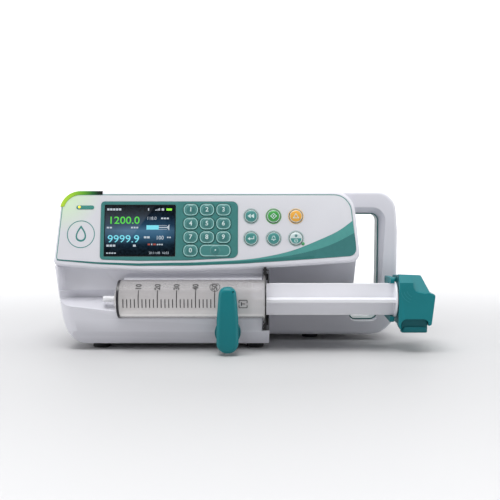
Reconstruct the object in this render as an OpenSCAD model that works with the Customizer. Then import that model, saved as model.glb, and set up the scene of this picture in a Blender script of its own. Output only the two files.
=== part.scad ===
// Bench-top syringe infusion pump with a carrying handle.
// X runs left to right along the syringe, Y runs front to back, Z is up.
// The origin is the centre of the footprint on the table.

/* [Housing] */
// Tilt of the control panel from vertical, degrees
panel_tilt = 12; // [8:1:14]
// Wall thickness of the moulded shells
wall = 2.5; // [2.2:0.1:2.8]
// Depth position of the rear face
rear_y = 71; // [69:0.5:74]
// Depth position of the back of the handle loop
handle_y = 45; // [42:1:50]
// Radius of the rubber feet
foot_r = 7.2; // [6:0.1:8]

/* [Syringe] */
// Outer radius of the syringe barrel
barrel_r = 15.6; // [15.3:0.1:15.7]
// Inner radius of the syringe barrel
barrel_ri = 14.35; // [14.3:0.05:14.4]
// Height of the syringe axis above the table
axis_z = 43; // [42.8:0.1:43.2]
// Depth position of the syringe axis
axis_y = -44; // [-44.2:0.1:-43.8]
// Front of the stopper along the barrel, with the syringe filled to 60 ml
stopper_x = -5.2; // [-8:0.5:-2]

/* [Drive] */
// Radius of the drive tube
tube_r = 7; // [6.5:0.1:7]
// Radius of the lead screw
screw_r = 4; // [3.5:0.1:4]
// Radius of the guide rods
rod_r = 3; // [2.5:0.1:3]

/* [Keypad] */
// Width of a number key
key_w = 12.2; // [11:0.1:12.4]
// Height of a number key along the panel
key_h = 10.1; // [9:0.1:10.2]
// Radius of a round button
btn_r = 5.6; // [5:0.1:5.8]
// How far a cap stands out of the panel
cap_out = 1.2; // [1:0.1:1.6]

/* [Hidden] */
$fn = 48;

eps = 0.01;
// Panel plane: passes through depth panel_y at height panel_z
panel_y = -44;
panel_z = 70;
ct = cos(panel_tilt);
// Height above the table turned into distance along the panel
function w(z) = (z - panel_z) / ct;

// Clamp pivot, drive tube, screw and rod positions
clamp_x = -11.6;
clamp_z = 17.5;
tube_y = -16;
screw_y = 18;
screw_z = 42;
rod_y = 9;
rod_z1 = 60;
rod_z2 = 24;
gear_d = 19.3;

// ---- outline helpers --------------------------------------------------
// Points of a closed outline whose corners [x, y, radius] are rounded by arcs
function vlen(v) = sqrt(v[0] * v[0] + v[1] * v[1]);
function unit(v) = v / vlen(v);
function cross2(a, b) = a[0] * b[1] - a[1] * b[0];
function corner(a, p, b, r, n) =
    let (u = unit([a[0] - p[0], a[1] - p[1]]), v = unit([b[0] - p[0], b[1] - p[1]]),
        half = acos(max(-1, min(1, u[0] * v[0] + u[1] * v[1]))) / 2)
    r <= 0 || half > 89 ? [[p[0], p[1]]] :
    let (d = r / tan(half), m = unit(u + v), c = [p[0], p[1]] + m * (r / sin(half)),
        s = [p[0], p[1]] + u * d - c, e = [p[0], p[1]] + v * d - c,
        a0 = atan2(s[1], s[0]), a1 = atan2(e[1], e[0]),
        sweep = ((a1 - a0 + 540) % 360) - 180)
    [for (i = [0:n]) c + r * [cos(a0 + sweep * i / n), sin(a0 + sweep * i / n)]];
function rounded(c, n = 6) = let (k = len(c))
    [for (i = [0:k - 1]) each corner(c[(i + k - 1) % k], c[i], c[(i + 1) % k], c[i][2], n)];
// Corners of the same outline moved inward by d; the corners run anticlockwise
function inset(c, d) = let (k = len(c))
    [for (i = [0:k - 1]) let (a = c[(i + k - 1) % k], p = c[i], b = c[(i + 1) % k],
        t1 = unit([p[0] - a[0], p[1] - a[1]]), t2 = unit([b[0] - p[0], b[1] - p[1]]),
        n1 = [-t1[1], t1[0]], n2 = [-t2[1], t2[0]], m = n1 + n2,
        q = [p[0], p[1]] + m * (d / (1 + n1[0] * n2[0] + n1[1] * n2[1])))
        [q[0], q[1], max(p[2] - (cross2(t1, t2) > 0 ? d : -d), 0)]];

// Outlines, as [across, up, corner radius], anticlockwise seen from the front
head_c = [[-156.8, 70.4, 5], [-78.5, 65.9, 0], [-3.5, 67.2, 0], [98.4, 73.6, 8],
    [93.2, 132.3, 18], [-151.0, 132.3, 17]];
deck_c = [[-156.5, 74, 0], [-156.5, 69, 0], [-154, 49, 0], [-150.5, 27, 0], [-144.5, 5, 20],
    [22.5, 5, 0], [22.5, 74, 0]];
overlay_c = [[-154.2, 75.0, 3], [-86, 70.5, 0], [-2, 72.2, 0], [95.2, 78.8, 6],
    [90.2, 129.5, 15], [-149.6, 129.5, 14]];
mid_c = [[-150, 5, 18], [136.5, 5, 24], [136.5, 98, 20], [133.8, 132, 18], [-148, 132, 17]];
rear_c = [[-150, 5, 18], [95.5, 5, 6], [100.2, 72, 0], [92, 132, 8], [-148, 132, 17]];
hole_c = [[94.5, 17.6, 5], [120.5, 17.6, 7], [120.5, 113, 7], [94.6, 113, 4], [99.2, 72, 0]];
// The hole is wider at the back, where the grip is thinner
hole_back_c = [[95.4, 14.5, 6], [123.5, 14.5, 9], [123.5, 113, 8], [94.6, 113, 4], [99.2, 72, 0]];
surround_c = [[-117.8, 75.9, 3], [-3.5, 77.3, 5], [-3.5, 123.5, 5], [-117.8, 123.5, 3]];
screen_c = [[-114.7, 78.1, 1.5], [-55.4, 78.1, 1.5], [-55.4, 120.7, 1.5], [-114.7, 120.7, 1.5]];
pusher_c = [[127.2, 23.4, 2], [129.6, 18.1, 1], [148.7, 18.1, 1], [151, 22.9, 0], [154, 23.4, 2],
    [156.9, 48.8, 2.5], [152.6, 49.6, 0], [147.3, 64.4, 1.5], [127.2, 65.2, 1]];

pusher_back_c = [[130.5, 24, 2], [132.6, 18.6, 1], [148.7, 18.6, 1], [151, 22.9, 0], [154, 23.4, 2],
    [156.9, 48.8, 2.5], [152.6, 49.6, 0], [148.6, 60.6, 1.5], [130.5, 62, 1]];

// Upright slab between two depths, drawn from an outline in X and Z
module slab(c, y0, y1, n = 6)
    translate([0, y1, 0]) rotate([90, 0, 0]) linear_extrude(y1 - y0) polygon(rounded(c, n));
// Children drawn on the panel: x across, y along the slope, z out of the panel
module on_panel() translate([0, panel_y, panel_z]) rotate([90 - panel_tilt, 0, 0]) children();
// Space on the room side of the panel plane, shifted outward by d
module room_side(d) on_panel() translate([-250, -150, d]) cube([500, 300, 150]);
// Plate on the panel from an outline given in X and Z
function slope(c) = [for (p = c) [p[0], w(p[1]), p[2]]];
module plate(c, n0, n1) on_panel() translate([0, 0, n0])
    linear_extrude(n1 - n0) polygon(rounded(slope(c), 6));
// Round rod along Y
module ycyl(x, z, r, y0, y1) translate([x, y1, z]) rotate([90, 0, 0]) cylinder(r = r, h = y1 - y0);
// Round rod along X
module xcyl(y, z, r, x0, x1) translate([x0, y, z]) rotate([0, 90, 0]) cylinder(r = r, h = x1 - x0);
module box(a, b) translate(a) cube(b - a);

// Key places on the panel: [name, x, z]
kx = [-42.8, -29.3, -15.6];
kz = [116.5, 105.1, 93.9, 82.9];
number_keys = [["1", kx[0], kz[0]], ["2", kx[1], kz[0]], ["3", kx[2], kz[0]],
    ["4", kx[0], kz[1]], ["5", kx[1], kz[1]], ["6", kx[2], kz[1]],
    ["7", kx[0], kz[2]], ["8", kx[1], kz[2]], ["9", kx[2], kz[2]], ["0", kx[0], kz[3]]];
dot_x = (kx[1] + kx[2]) / 2;
dot_w = kx[2] - kx[1] + key_w;
bx = [7.4, 26.1, 44.7];
bz = [111.2, 92.9];

module polygon_pill(ww, hh, r = 3.6) polygon(rounded([[-ww / 2, -hh / 2, r], [ww / 2, -hh / 2, r],
    [ww / 2, hh / 2, r], [-ww / 2, hh / 2, r]], 5));
// One number key, a stem and a cap with a lowered edge
module pill_key(x, z, ww) on_panel() translate([x, w(z), 0]) {
    translate([0, 0, -4.4]) linear_extrude(4.4 + cap_out * 0.6) polygon_pill(ww, key_h);
    linear_extrude(cap_out) polygon_pill(ww - 1.6, key_h - 1.6, 3);
}
module round_key(x, z) on_panel() translate([x, w(z), -4.4]) {
    cylinder(r = btn_r, h = 4.4 + cap_out * 0.6);
    cylinder(r = btn_r - 0.9, h = 4.4 + cap_out);
}
// Openings for all the keys, through the panel between two depths
module key_holes(n0, n1, g = 0.35) on_panel() translate([0, 0, n0]) {
    for (k = number_keys) translate([k[1], w(k[2]), 0]) linear_extrude(n1 - n0) polygon_pill(key_w + 2 * g, key_h + 2 * g);
    translate([dot_x, w(kz[3]), 0]) linear_extrude(n1 - n0) polygon_pill(dot_w + 2 * g, key_h + 2 * g);
    for (x = bx, z = bz) translate([x, w(z), 0]) cylinder(r = btn_r + g, h = n1 - n0);
}
leds = [[50.5, 88.6, 1.4], [-135.9, 119, 1.2]];
module led_holes(n0, n1, g) on_panel() for (l = leds)
    translate([l[0], w(l[1]), n0]) cylinder(r = l[2] + g, h = n1 - n0);

// Ring section of the alarm light that wraps the top left corner of the panel
module alarm_2d(g) intersection() {
    difference() {
        polygon(rounded(slope(inset(head_c, 0.9 - g)), 10));
        polygon(rounded(slope(inset(head_c, 3.3 + g)), 10));
    }
    translate([-170, w(118.5 - g)]) square([170 - 116.6 + g, 30]);
}

// ---- fixed shells -----------------------------------------------------
module head_housing() color([0.82, 0.82, 0.85]) difference() {
    slab(head_c, -60, 0.6);
    room_side(0);
    // hollow behind the panel, kept inside the outline of the shell behind it
    difference() {
        intersection() {
            slab(inset(head_c, wall), -60, 10);
            slab(inset(mid_c, 3), -60, 12);
        }
        room_side(-3.2);
    }
    plate(overlay_c, -0.8, 1);
    plate(inset(surround_c, 2.2), -4, 1);
    key_holes(-4, 1);
    led_holes(-4, 1, 0.1);
    on_panel() translate([0, 0, -2.2]) linear_extrude(5) alarm_2d(0.05);
}

// Space where the syringe lies, and the stepped recess to its left
module deck_recess() {
    xcyl(axis_y, axis_z, barrel_r + 0.4, -104.5, 18.5);
    // the slope above the barrel and its notch
    translate([-104.5, 0, 0]) rotate([90, 0, 90]) linear_extrude(18.5 + 104.5)
        polygon([[-60, 43], [-43, 43], [-43, 58.4], [-35, 61.4], [-35, 80], [-60, 80]]);
    box([-104.5, -60, axis_z], [-98.5, -35, 80]);
    box([-104.5, -60, 30], [18.5, -46, 80]);
    // left part: wall that rolls under to a groove, then a slope, drawn in Y and Z
    translate([-170, 0, 0]) rotate([90, 0, 90]) linear_extrude(170 - 104.4)
        polygon([[-60, 36], [-47, 36], [-30, 42.5], [-30.5, 45], [-32, 48], [-34, 51], [-35, 52], [-60, 50]]);
    translate([0, 0, 49.5]) linear_extrude(40)
        polygon([[-157, -47.6], [-149, -35], [-104, -35], [-104, -50], [-157, -50]]);
}
module syringe_deck() color([0.80, 0.80, 0.84]) difference() {
    slab(deck_c, -47, 0.6);
    // room for the control panel above
    slab(concat([[-170, 120, 0]], [[-170, 71, 0], [-156.9, 70.2, 0], [-78.5, 65.7, 0], [-3.5, 67.0, 0], [98.4, 73.4, 0], [98.4, 120, 0]]), -60, 2, 1);
    deck_recess();
    // sloping lower edge at the front
    translate([-170, 0, 0]) rotate([90, 0, 90]) linear_extrude(220)
        polygon([[-60, 16], [-47, 16], [-39, 5], [-39, 0], [-60, 0]]);
    // hollow at the back
    box([-102.5, -25.5, 8], [18, 2, 63]);
    box([-146, -11.5, 22], [-102, 2, 63]);
    box([-130, -42, 8], [-104, -11, 28]);
    // seat of the flange plate
    box([18.4, -60, 17], [30, -23.2, 80]);
    // clamp bush
    ycyl(clamp_x, clamp_z, 8, -60, -40);
    box([clamp_x - 9, -41, 8.5], [clamp_x + 9, -20, 25]);
    // drive tube
    xcyl(tube_y, axis_z, tube_r + 0.4, 10, 40);
}

module frame_hollow(y0, y1) slab(inset(rear_c, wall), y0, y1);
module front_frame() color([0.82, 0.82, 0.85]) difference() {
    union() {
        slab(mid_c, 1, 23);
        slab(inset(mid_c, 2.4), 0.6 + eps, 1.2);
    }
    frame_hollow(3.6, 30);
    slab(hole_c, -5, 30);
    // opening for the syringe drive and the panel wiring
    box([-140, -5, 10], [17.5, 8, 62]);
    box([-90, -5, 80], [50, 8, 110]);
}
module rear_housing() color([0.79, 0.79, 0.82]) difference() {
    union() {
        slab(mid_c, 23.1, handle_y);
        slab(rear_c, 23.1, rear_y);
    }
    frame_hollow(20, rear_y - wall);
    slab(hole_back_c, 10, 60);
    // bay for the battery
    box([-110, 30, 0], [-30, rear_y - wall, 8]);
    // rear openings
    box([46, 60, 24], [73, 80, 44]);
    for (x = [-50, 10], z = [70, 110]) ycyl(x, z, 4.5, 60, 80);
    for (p = screw_p) ycyl(p[0], p[1], 3.2, rear_y - 1.2, 80);
    for (p = screw_p) ycyl(p[0], p[1], 1.7, 60, 80);
    for (i = [0:7]) box([-112 + i * 5, 60, 86], [-109.6 + i * 5, 80, 106]);
}
screw_p = [[-136, 22], [-136, 116], [-20, 14], [-20, 124], [84, 14], [84, 122]];
module housing_screws() color([0.6, 0.6, 0.62]) for (p = screw_p) difference() {
    union() {
        ycyl(p[0], p[1], 3, rear_y - 1.1, rear_y + 0 - 0.2);
        ycyl(p[0], p[1], 1.5, rear_y - 12, rear_y - 1);
    }
    ycyl(p[0], p[1], 1.3, rear_y - 0.9, rear_y + 2);
}
// Thin trim ring that lines the hand hole
module handle_trim() color([0.10, 0.36, 0.38]) difference() {
    slab(inset(hole_c, 0.05), 8, 22.8, 8);
    slab(inset(hole_c, 1.2), 0, 40, 8);
}

module panel_overlay() color([0.83, 0.83, 0.86]) difference() {
    plate(inset(overlay_c, 0.1), -0.8, 0);
    plate(surround_c, -2, 1);
    on_panel() translate([0, 0, -2.2]) linear_extrude(5) alarm_2d(0.15);
    on_panel() translate([0, 0, -1]) for (x = bx, z = bz) translate([x, w(z), 0]) cylinder(r = btn_r + 0.35, h = 3);
    led_holes(-2, 1, 0.1);
}
module keypad_surround() color([0.25, 0.50, 0.49]) difference() {
    plate(inset(surround_c, 0.1), -0.8, 0.4);
    plate(inset(screen_c, -0.1), -2, 2);
    key_holes(-2, 2);
}
module display_lens() color([0.08, 0.12, 0.2]) plate(screen_c, -0.8, 0.2);
module display_module() color([0.15, 0.16, 0.18]) {
    plate(inset(screen_c, 0.5), -3.1, -0.9);
    on_panel() translate([-113, w(80), -9]) cube([56, 40, 5.9 + eps]);
}
module alarm_light() color([0.45, 0.70, 0.25]) on_panel() translate([0, 0, -2.2])
    linear_extrude(2.6) alarm_2d(0);
module indicator_lights() color([0.35, 0.75, 0.35]) on_panel() for (l = leds)
    translate([l[0], w(l[1]), -5.2]) cylinder(r = l[2], h = 5.5);
module keypad_board() color([0.1, 0.35, 0.2])
    on_panel() translate([-52, w(78), -7.2]) cube([110, 44, 1.6]);

// Plate with a slot that takes the finger flange of the barrel
module flange_holder() color([0.22, 0.22, 0.24]) difference() {
    box([18.5, -47, 17.2], [22.5, -28, 66]);
    xcyl(axis_y, axis_z, 21.2, 19.2, 21.4);
    box([19.2, -60, axis_z - 21.2], [21.4, axis_y, axis_z + 21.2]);
    xcyl(axis_y, axis_z, barrel_r + 0.3, 18, 23);
    box([18, -60, axis_z - barrel_r - 0.3], [23, axis_y, axis_z + barrel_r + 0.3]);
}

// ---- syringe ----------------------------------------------------------
module about_axis() translate([0, axis_y, axis_z]) rotate([0, 90, 0]) children();
module syringe_barrel() color([0.9, 0.93, 0.95, 0.4]) about_axis() rotate_extrude($fn = 96)
    polygon([[1.0, -115], [2.0, -115], [2.4, -113.6], [2.4, -108.4], [1.8, -108.4], [1.8, -105.9],
        [4.6, -105.9], [13.4, -102.2], [barrel_r, -100.4], [barrel_r, 19.5], [20.4, 19.5],
        [20.4, 21.1], [barrel_ri, 21.1], [barrel_ri, -99.4], [12.6, -100.9], [1.0, -104.2]]);
module plunger_stopper() color([0.12, 0.12, 0.13]) about_axis() rotate_extrude($fn = 96)
    polygon([[0, stopper_x], [12.6, stopper_x + 1.6], [barrel_ri - 0.3, stopper_x + 3.2],
        [barrel_ri - 0.3, stopper_x + 5.4], [13.2, stopper_x + 6.4], [13.2, stopper_x + 9],
        [barrel_ri - 0.3, stopper_x + 10], [barrel_ri - 0.3, stopper_x + 12], [0, stopper_x + 12]]);
module plunger_rod() color([0.93, 0.93, 0.93]) {
    about_axis() translate([0, 0, stopper_x + 12]) cylinder(r = 13.6, h = 2);
    about_axis() translate([0, 0, 125.3]) cylinder(r = 14.5, h = 1.6);
    box([stopper_x + 13, axis_y - 1, axis_z - 13.2], [125.6, axis_y + 1, axis_z + 13.2]);
    box([stopper_x + 13, axis_y - 13.2, axis_z - 1.3], [125.6, axis_y + 13.2, axis_z + 1.3]);
}

// ---- syringe clamp ----------------------------------------------------
module clamp_bush() color([0.65, 0.66, 0.68]) difference() {
    ycyl(clamp_x, clamp_z, 7.95, -50.8, -41);
    ycyl(clamp_x, clamp_z, 5.55, -60, -30);
}
module clamp_sleeve() color([0.10, 0.45, 0.46]) difference() {
    union() {
        ycyl(clamp_x, clamp_z, 11.4, -59.9, -51.8);
        ycyl(clamp_x, clamp_z, 5.5, -52, -26);
    }
    ycyl(clamp_x, clamp_z, 3.55, -70, -20);
}
module clamp_shaft() color([0.75, 0.76, 0.78]) {
    ycyl(clamp_x, clamp_z, 3.5, -64, -25.5);
    ycyl(clamp_x, clamp_z, 5, -25.6, -23.5);
}
module clamp_arm() color([0.10, 0.48, 0.49]) difference() {
    slab([[clamp_x - 9, 2.4, 8], [clamp_x + 9, 2.4, 8], [clamp_x + 8.4, 30, 20],
        [clamp_x + 6.2, 55.2, 6], [clamp_x - 6.2, 55.2, 6], [clamp_x - 8.4, 30, 20]], -70.9, -60.2);
    ycyl(clamp_x, clamp_z, 3.5, -64, -50);
}

// ---- drive ------------------------------------------------------------
module drive_tube() color([0.78, 0.79, 0.8]) difference() {
    xcyl(tube_y, axis_z, tube_r, -9, 142);
    xcyl(tube_y, axis_z, tube_r - 1.5, -20, 150);
}
module carriage() color([0.55, 0.57, 0.6]) difference() {
    union() {
        box([-10, -24, 34], [4, 12, 52]);
        box([-10, 4, 17], [4, 13.5, 68]);
        box([-10, 4, 50], [4, 28, 56]);
        box([-10, 4, 28], [4, 28, 34]);
    }
    xcyl(tube_y, axis_z, tube_r, -9, 20);
    xcyl(rod_y, rod_z1, rod_r + 0.05, -20, 20);
    xcyl(rod_y, rod_z2, rod_r + 0.05, -20, 20);
}
module half_nut() color([0.72, 0.60, 0.32]) difference() {
    box([-9, screw_y, 36], [3, 25, 48]);
    xcyl(screw_y, screw_z, screw_r + 0.35, -20, 20);
}
module lead_screw() color([0.7, 0.71, 0.73]) {
    xcyl(screw_y, screw_z, screw_r - 0.4, -100.9, 14.9);
    xcyl(screw_y, screw_z, 2.5, -112, 17);
    for (i = [0:54]) xcyl(screw_y, screw_z, screw_r, -98 + i * 2, -97.1 + i * 2);
    difference() {
        xcyl(screw_y, screw_z, 14, -111, -106);
        for (i = [0:5]) xcyl(screw_y + 9 * cos(i * 60), screw_z + 9 * sin(i * 60), 2.6, -120, -100);
    }
}
module motor_pinion() color([0.75, 0.76, 0.78]) {
    xcyl(screw_y, screw_z + gear_d, 5, -111, -106);
    xcyl(screw_y, screw_z + gear_d, 2, -113.4, -105);
}
module drive_motor() color([0.2, 0.2, 0.22]) difference() {
    box([-145, screw_y - 14, screw_z + gear_d - 14], [-113, screw_y + 14, screw_z + gear_d + 14]);
    xcyl(screw_y, screw_z + gear_d, 2.05, -114.4, -100);
}
module screw_bearings() color([0.8, 0.8, 0.82]) for (x = [[-104, -101], [15, 18]]) difference() {
    xcyl(screw_y, screw_z, 6, x[0], x[1]);
    xcyl(screw_y, screw_z, 2.55, -150, 50);
}
module chassis_frame() color([0.7, 0.71, 0.73]) difference() {
    union() {
        box([-104, 30, 14], [18, 32, 74]);
        box([-104, 4.2, 18], [-101, 30.5, 66]);
        box([15, 4.2, 18], [18, 30.5, 66]);
        box([-112.9, 30, 58.5], [-103, 32, 90]);
        box([-112.9, 3.9, 70], [-112.1, 31, 76]);
    }
    for (z = [rod_z1, rod_z2]) xcyl(rod_y, z, rod_r, -120, 30);
    xcyl(screw_y, screw_z, 6, -105, 30);
    xcyl(screw_y, screw_z + gear_d, 7, -120, -90);
}
module guide_rods() color([0.8, 0.81, 0.83]) for (z = [rod_z1, rod_z2]) xcyl(rod_y, z, rod_r, -104, 18);

// ---- pusher head ------------------------------------------------------
claw_px = -24;
claw_dz = 14.2;
module pusher_front() color([0.10, 0.46, 0.48]) difference() {
    slab(pusher_c, -60, -34.1);
    // bevelled top edge
    translate([100, 0, 0]) rotate([90, 0, 90]) linear_extrude(80)
        polygon([[-70, 58], [-60, 58], [-54, 70], [-70, 70]]);
    // mouth of the release paddle in the skin, and the space it slides in
    slab([[129.4, 10, 0], [151.4, 10, 0], [151.4, 28.6, 4], [129.4, 28.6, 4]], -61, -57);
    box([129.4, -57.3, 10], [151.4, -46, 39.5]);
    slab(inset(pusher_back_c, 2.4), -50, -30);
}
module pusher_back() color([0.08, 0.40, 0.42]) difference() {
    slab(pusher_back_c, -34, -8);
    slab(inset(pusher_back_c, 2.4), -40, -10.4);
    xcyl(tube_y, axis_z, tube_r, 110, 143);
    for (s = [-1, 1]) xcyl(claw_px, axis_z + s * claw_dz, 2.05, 110, 135);
}
module release_paddle() color([0.05, 0.34, 0.36]) {
    slab([[129.8, 17, 1], [151, 17, 1], [151, 32, 1], [129.8, 32, 1]], -56.9, -52);
    slab([[131, 17.2, 1], [149.5, 17.2, 1], [149.5, 21, 2], [131, 21, 2]], -58.8, -56.8);
}
// One hook with its pivot pin; s is 1 above the syringe axis and -1 below
module claw(s) {
    xcyl(claw_px, axis_z + s * claw_dz, 2, 122.1, 134.5);
    difference() {
        translate([121.7, 0, 0]) rotate([90, 0, 90]) linear_extrude(3.2)
            polygon(rounded(s > 0 ?
                [[-51, 56.6, 1], [-38, 56.6, 2], [-36, 54.2, 1], [-20.5, 54.2, 2], [-20.5, 60.2, 3], [-30, 60.6, 0], [-51, 61.6, 2.5]] :
                [[-51, 24.4, 2.5], [-30, 25.4, 0], [-20.5, 25.8, 3], [-20.5, 31.8, 2], [-36, 31.8, 1], [-38, 29.4, 2], [-51, 29.4, 1]], 4));
        xcyl(claw_px, axis_z + s * claw_dz, 1.9, 110, 122.6);
    }
}
module claw_upper() color([0.1, 0.42, 0.44]) claw(1);
module claw_lower() color([0.1, 0.42, 0.44]) claw(-1);

// ---- electronics and other fittings -----------------------------------
module main_board() color([0.1, 0.35, 0.2]) {
    box([-95, 40, 52], [40, 41.6, 124]);
    for (x = [-80, -45, -10, 18]) box([x, 41.5, 78], [x + 16, 44.5, 94]);
    box([-85, 41.5, 56], [-50, 48, 64]);
    box([-20, 41.5, 104], [20, 50, 112]);
}
module power_supply() color([0.75, 0.76, 0.78]) {
    box([-20, 36, 12], [40, 58, 44]);
    box([44, 30, 12], [86, 44, 18]);
}
module battery_pack() color([0.15, 0.3, 0.55]) for (i = [0:3])
    xcyl(41.8 + (i % 2) * 17.6, 18 + floor(i / 2) * 17.6, 8.7, -106, -36);
module battery_cover() color([0.75, 0.75, 0.78]) box([-109.6, 30.4, 5], [-30.4, rear_y - wall - 0.4, 7.4]);
module speaker() color([0.12, 0.12, 0.13]) {
    ycyl(-93.5, 96, 15, rear_y - 5.5, rear_y - wall - 0.1);
    ycyl(-93.5, 96, 8, rear_y - 13, rear_y - 5.4);
}
module power_inlet() color([0.1, 0.1, 0.11]) difference() {
    box([46.2, 52, 24.2], [72.8, rear_y, 43.8]);
    box([48.4, 56, 26.4], [70.6, 80, 41.6]);
    for (x = [53.5, 65.5]) box([x - 1, 54, 31], [x + 1, 57, 37]);
}
// Threaded inserts that take a pole clamp
module pole_clamp_inserts() color([0.75, 0.68, 0.4]) for (x = [-50, 10], z = [70, 110]) difference() {
    ycyl(x, z, 4.5, 60, rear_y);
    ycyl(x, z, 2.5, 62, 80);
}
feet = [[-120, -26], [11, -26], [61, 22], [-120, 54], [84, 54]];
module rubber_feet() color([0.16, 0.16, 0.17]) for (f = feet) translate([f[0], f[1], 0]) {
    cylinder(r1 = foot_r - 0.5, r2 = foot_r, h = 0.8);
    translate([0, 0, 0.8 - eps]) cylinder(r = foot_r, h = 4.2);
}

// ---- keys -------------------------------------------------------------
module number_key(i) color([0.32, 0.56, 0.55]) pill_key(number_keys[i][1], number_keys[i][2], key_w);
module key_dot() color([0.32, 0.56, 0.55]) pill_key(dot_x, kz[3], dot_w);
module key_rewind() color([0.24, 0.52, 0.50]) round_key(bx[0], bz[0]);
module key_start() color([0.25, 0.58, 0.26]) round_key(bx[1], bz[0]);
module key_stop() color([0.90, 0.62, 0.20]) round_key(bx[2], bz[0]);
module key_enter() color([0.24, 0.52, 0.50]) round_key(bx[0], bz[1]);
module key_mute() color([0.24, 0.52, 0.50]) round_key(bx[1], bz[1]);
module key_power() color([0.80, 0.84, 0.84]) round_key(bx[2], bz[1]);

head_housing();
syringe_deck();
front_frame();
rear_housing();
handle_trim();
panel_overlay();
keypad_surround();
display_lens();
display_module();
alarm_light();
indicator_lights();
flange_holder();
syringe_barrel();
clamp_bush();
chassis_frame();
guide_rods();
screw_bearings();
drive_motor();
main_board();
keypad_board();
power_supply();
battery_pack();
battery_cover();
speaker();
power_inlet();
pole_clamp_inserts();
housing_screws();
rubber_feet();
clamp_sleeve();
clamp_arm();
clamp_shaft();
drive_tube();
carriage();
pusher_front();
pusher_back();
plunger_rod();
plunger_stopper();
release_paddle();
claw_upper();
claw_lower();
half_nut();
lead_screw();
motor_pinion();
number_key(9);  // key_0
number_key(0);  // key_1
number_key(1);  // key_2
number_key(2);  // key_3
number_key(3);  // key_4
number_key(4);  // key_5
number_key(5);  // key_6
number_key(6);  // key_7
number_key(7);  // key_8
number_key(8);  // key_9
key_dot();
key_rewind();
key_start();
key_stop();
key_enter();
key_mute();
key_power();
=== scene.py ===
import math

import bpy
import bmesh
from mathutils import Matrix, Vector


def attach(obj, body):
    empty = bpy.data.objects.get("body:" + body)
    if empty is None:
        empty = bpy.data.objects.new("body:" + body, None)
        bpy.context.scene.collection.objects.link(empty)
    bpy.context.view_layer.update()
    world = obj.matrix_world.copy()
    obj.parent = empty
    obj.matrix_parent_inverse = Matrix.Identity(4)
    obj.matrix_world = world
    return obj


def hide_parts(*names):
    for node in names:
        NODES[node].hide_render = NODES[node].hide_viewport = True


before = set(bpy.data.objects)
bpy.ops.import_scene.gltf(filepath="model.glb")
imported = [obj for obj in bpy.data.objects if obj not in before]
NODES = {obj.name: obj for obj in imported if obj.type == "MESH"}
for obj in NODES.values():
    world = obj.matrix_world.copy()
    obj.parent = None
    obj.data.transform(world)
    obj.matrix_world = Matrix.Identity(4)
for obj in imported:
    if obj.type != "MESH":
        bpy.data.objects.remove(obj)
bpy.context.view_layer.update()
scene = bpy.context.scene

# ---------------------------------------------------------------- measures
# Millimetres, in the frame's axes. The panel plane is the CAD's.
TILT = math.radians(12.0)
ST, CT, TT = math.sin(TILT), math.cos(TILT), math.tan(TILT)
PY, PZ = -44.0, 70.0
AX_Y, AX_Z = -44.0, 43.0  # syringe axis

HEAD = [(-156.8, 70.4, 5), (-117, 67.4, 0.4), (-78.5, 65.9, 0.4), (-41, 66.0, 0.4), (-3.5, 67.2, 0.4),
        (47, 70.1, 0.4), (98.4, 73.6, 8), (93.2, 132.3, 18), (-151.0, 132.3, 17)]
OVER = [(-154.2, 75.0, 3), (-120, 72.0, 0.4), (-86, 70.5, 0.4), (-44, 70.7, 0.4), (-2, 72.2, 0.4),
        (46, 75.2, 0.4), (95.2, 78.8, 6), (90.2, 129.5, 15), (-149.6, 129.5, 14)]
MID = [(-150, 5, 18), (136.5, 5, 24), (136.5, 98, 20), (133.8, 132, 18), (-148, 132, 17)]
SURR = [(-117.8, 75.7, 3), (-86, 74.7, 0.4), (-46, 75.1, 0.4), (-3.5, 77.2, 5), (-3.5, 123.5, 5), (-117.8, 123.5, 3)]
SCREEN = [(-114.7, 78.1, 0.8), (-55.4, 78.1, 0.8), (-55.4, 120.7, 0.8), (-114.7, 120.7, 0.8)]


# ---------------------------------------------------------------- 2D helpers
def unit2(x, y):
    k = math.hypot(x, y) or 1.0
    return x / k, y / k


def rounded(c, n=8):
    """Points of a closed outline whose corners (x, y, radius) are rounded by arcs."""
    out, k = [], len(c)
    for i in range(k):
        a, p, b = c[i - 1], c[i], c[(i + 1) % k]
        ux, uy = unit2(a[0] - p[0], a[1] - p[1])
        vx, vy = unit2(b[0] - p[0], b[1] - p[1])
        half = math.acos(max(-1, min(1, ux * vx + uy * vy))) / 2
        r = max(p[2], 0.05)
        if half > math.radians(89.6):
            out += [(p[0], p[1])] * (n + 1)
            continue
        d = r / math.tan(half)
        mx, my = unit2(ux + vx, uy + vy)
        cx, cy = p[0] + mx * r / math.sin(half), p[1] + my * r / math.sin(half)
        a0 = math.atan2(p[1] + uy * d - cy, p[0] + ux * d - cx)
        a1 = math.atan2(p[1] + vy * d - cy, p[0] + vx * d - cx)
        sw = (a1 - a0 + math.pi) % (2 * math.pi) - math.pi
        out += [(cx + r * math.cos(a0 + sw * j / n), cy + r * math.sin(a0 + sw * j / n)) for j in range(n + 1)]
    return out


def inset(c, d):
    out, k = [], len(c)
    for i in range(k):
        a, p, b = c[i - 1], c[i], c[(i + 1) % k]
        t1 = unit2(p[0] - a[0], p[1] - a[1])
        t2 = unit2(b[0] - p[0], b[1] - p[1])
        n1, n2 = (-t1[1], t1[0]), (-t2[1], t2[0])
        s = d / (1 + n1[0] * n2[0] + n1[1] * n2[1])
        turn = 1 if t1[0] * t2[1] - t1[1] * t2[0] > 0 else -1
        out.append((p[0] + (n1[0] + n2[0]) * s, p[1] + (n1[1] + n2[1]) * s, max(p[2] - turn * d, 0.1)))
    return out


def on_panel(x, z, n=0.0):
    """A point (x, height z on the panel plane), lifted n mm out of the panel, in mm."""
    return (x, PY + (z - PZ) * TT - n * CT, z + n * ST)


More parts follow.
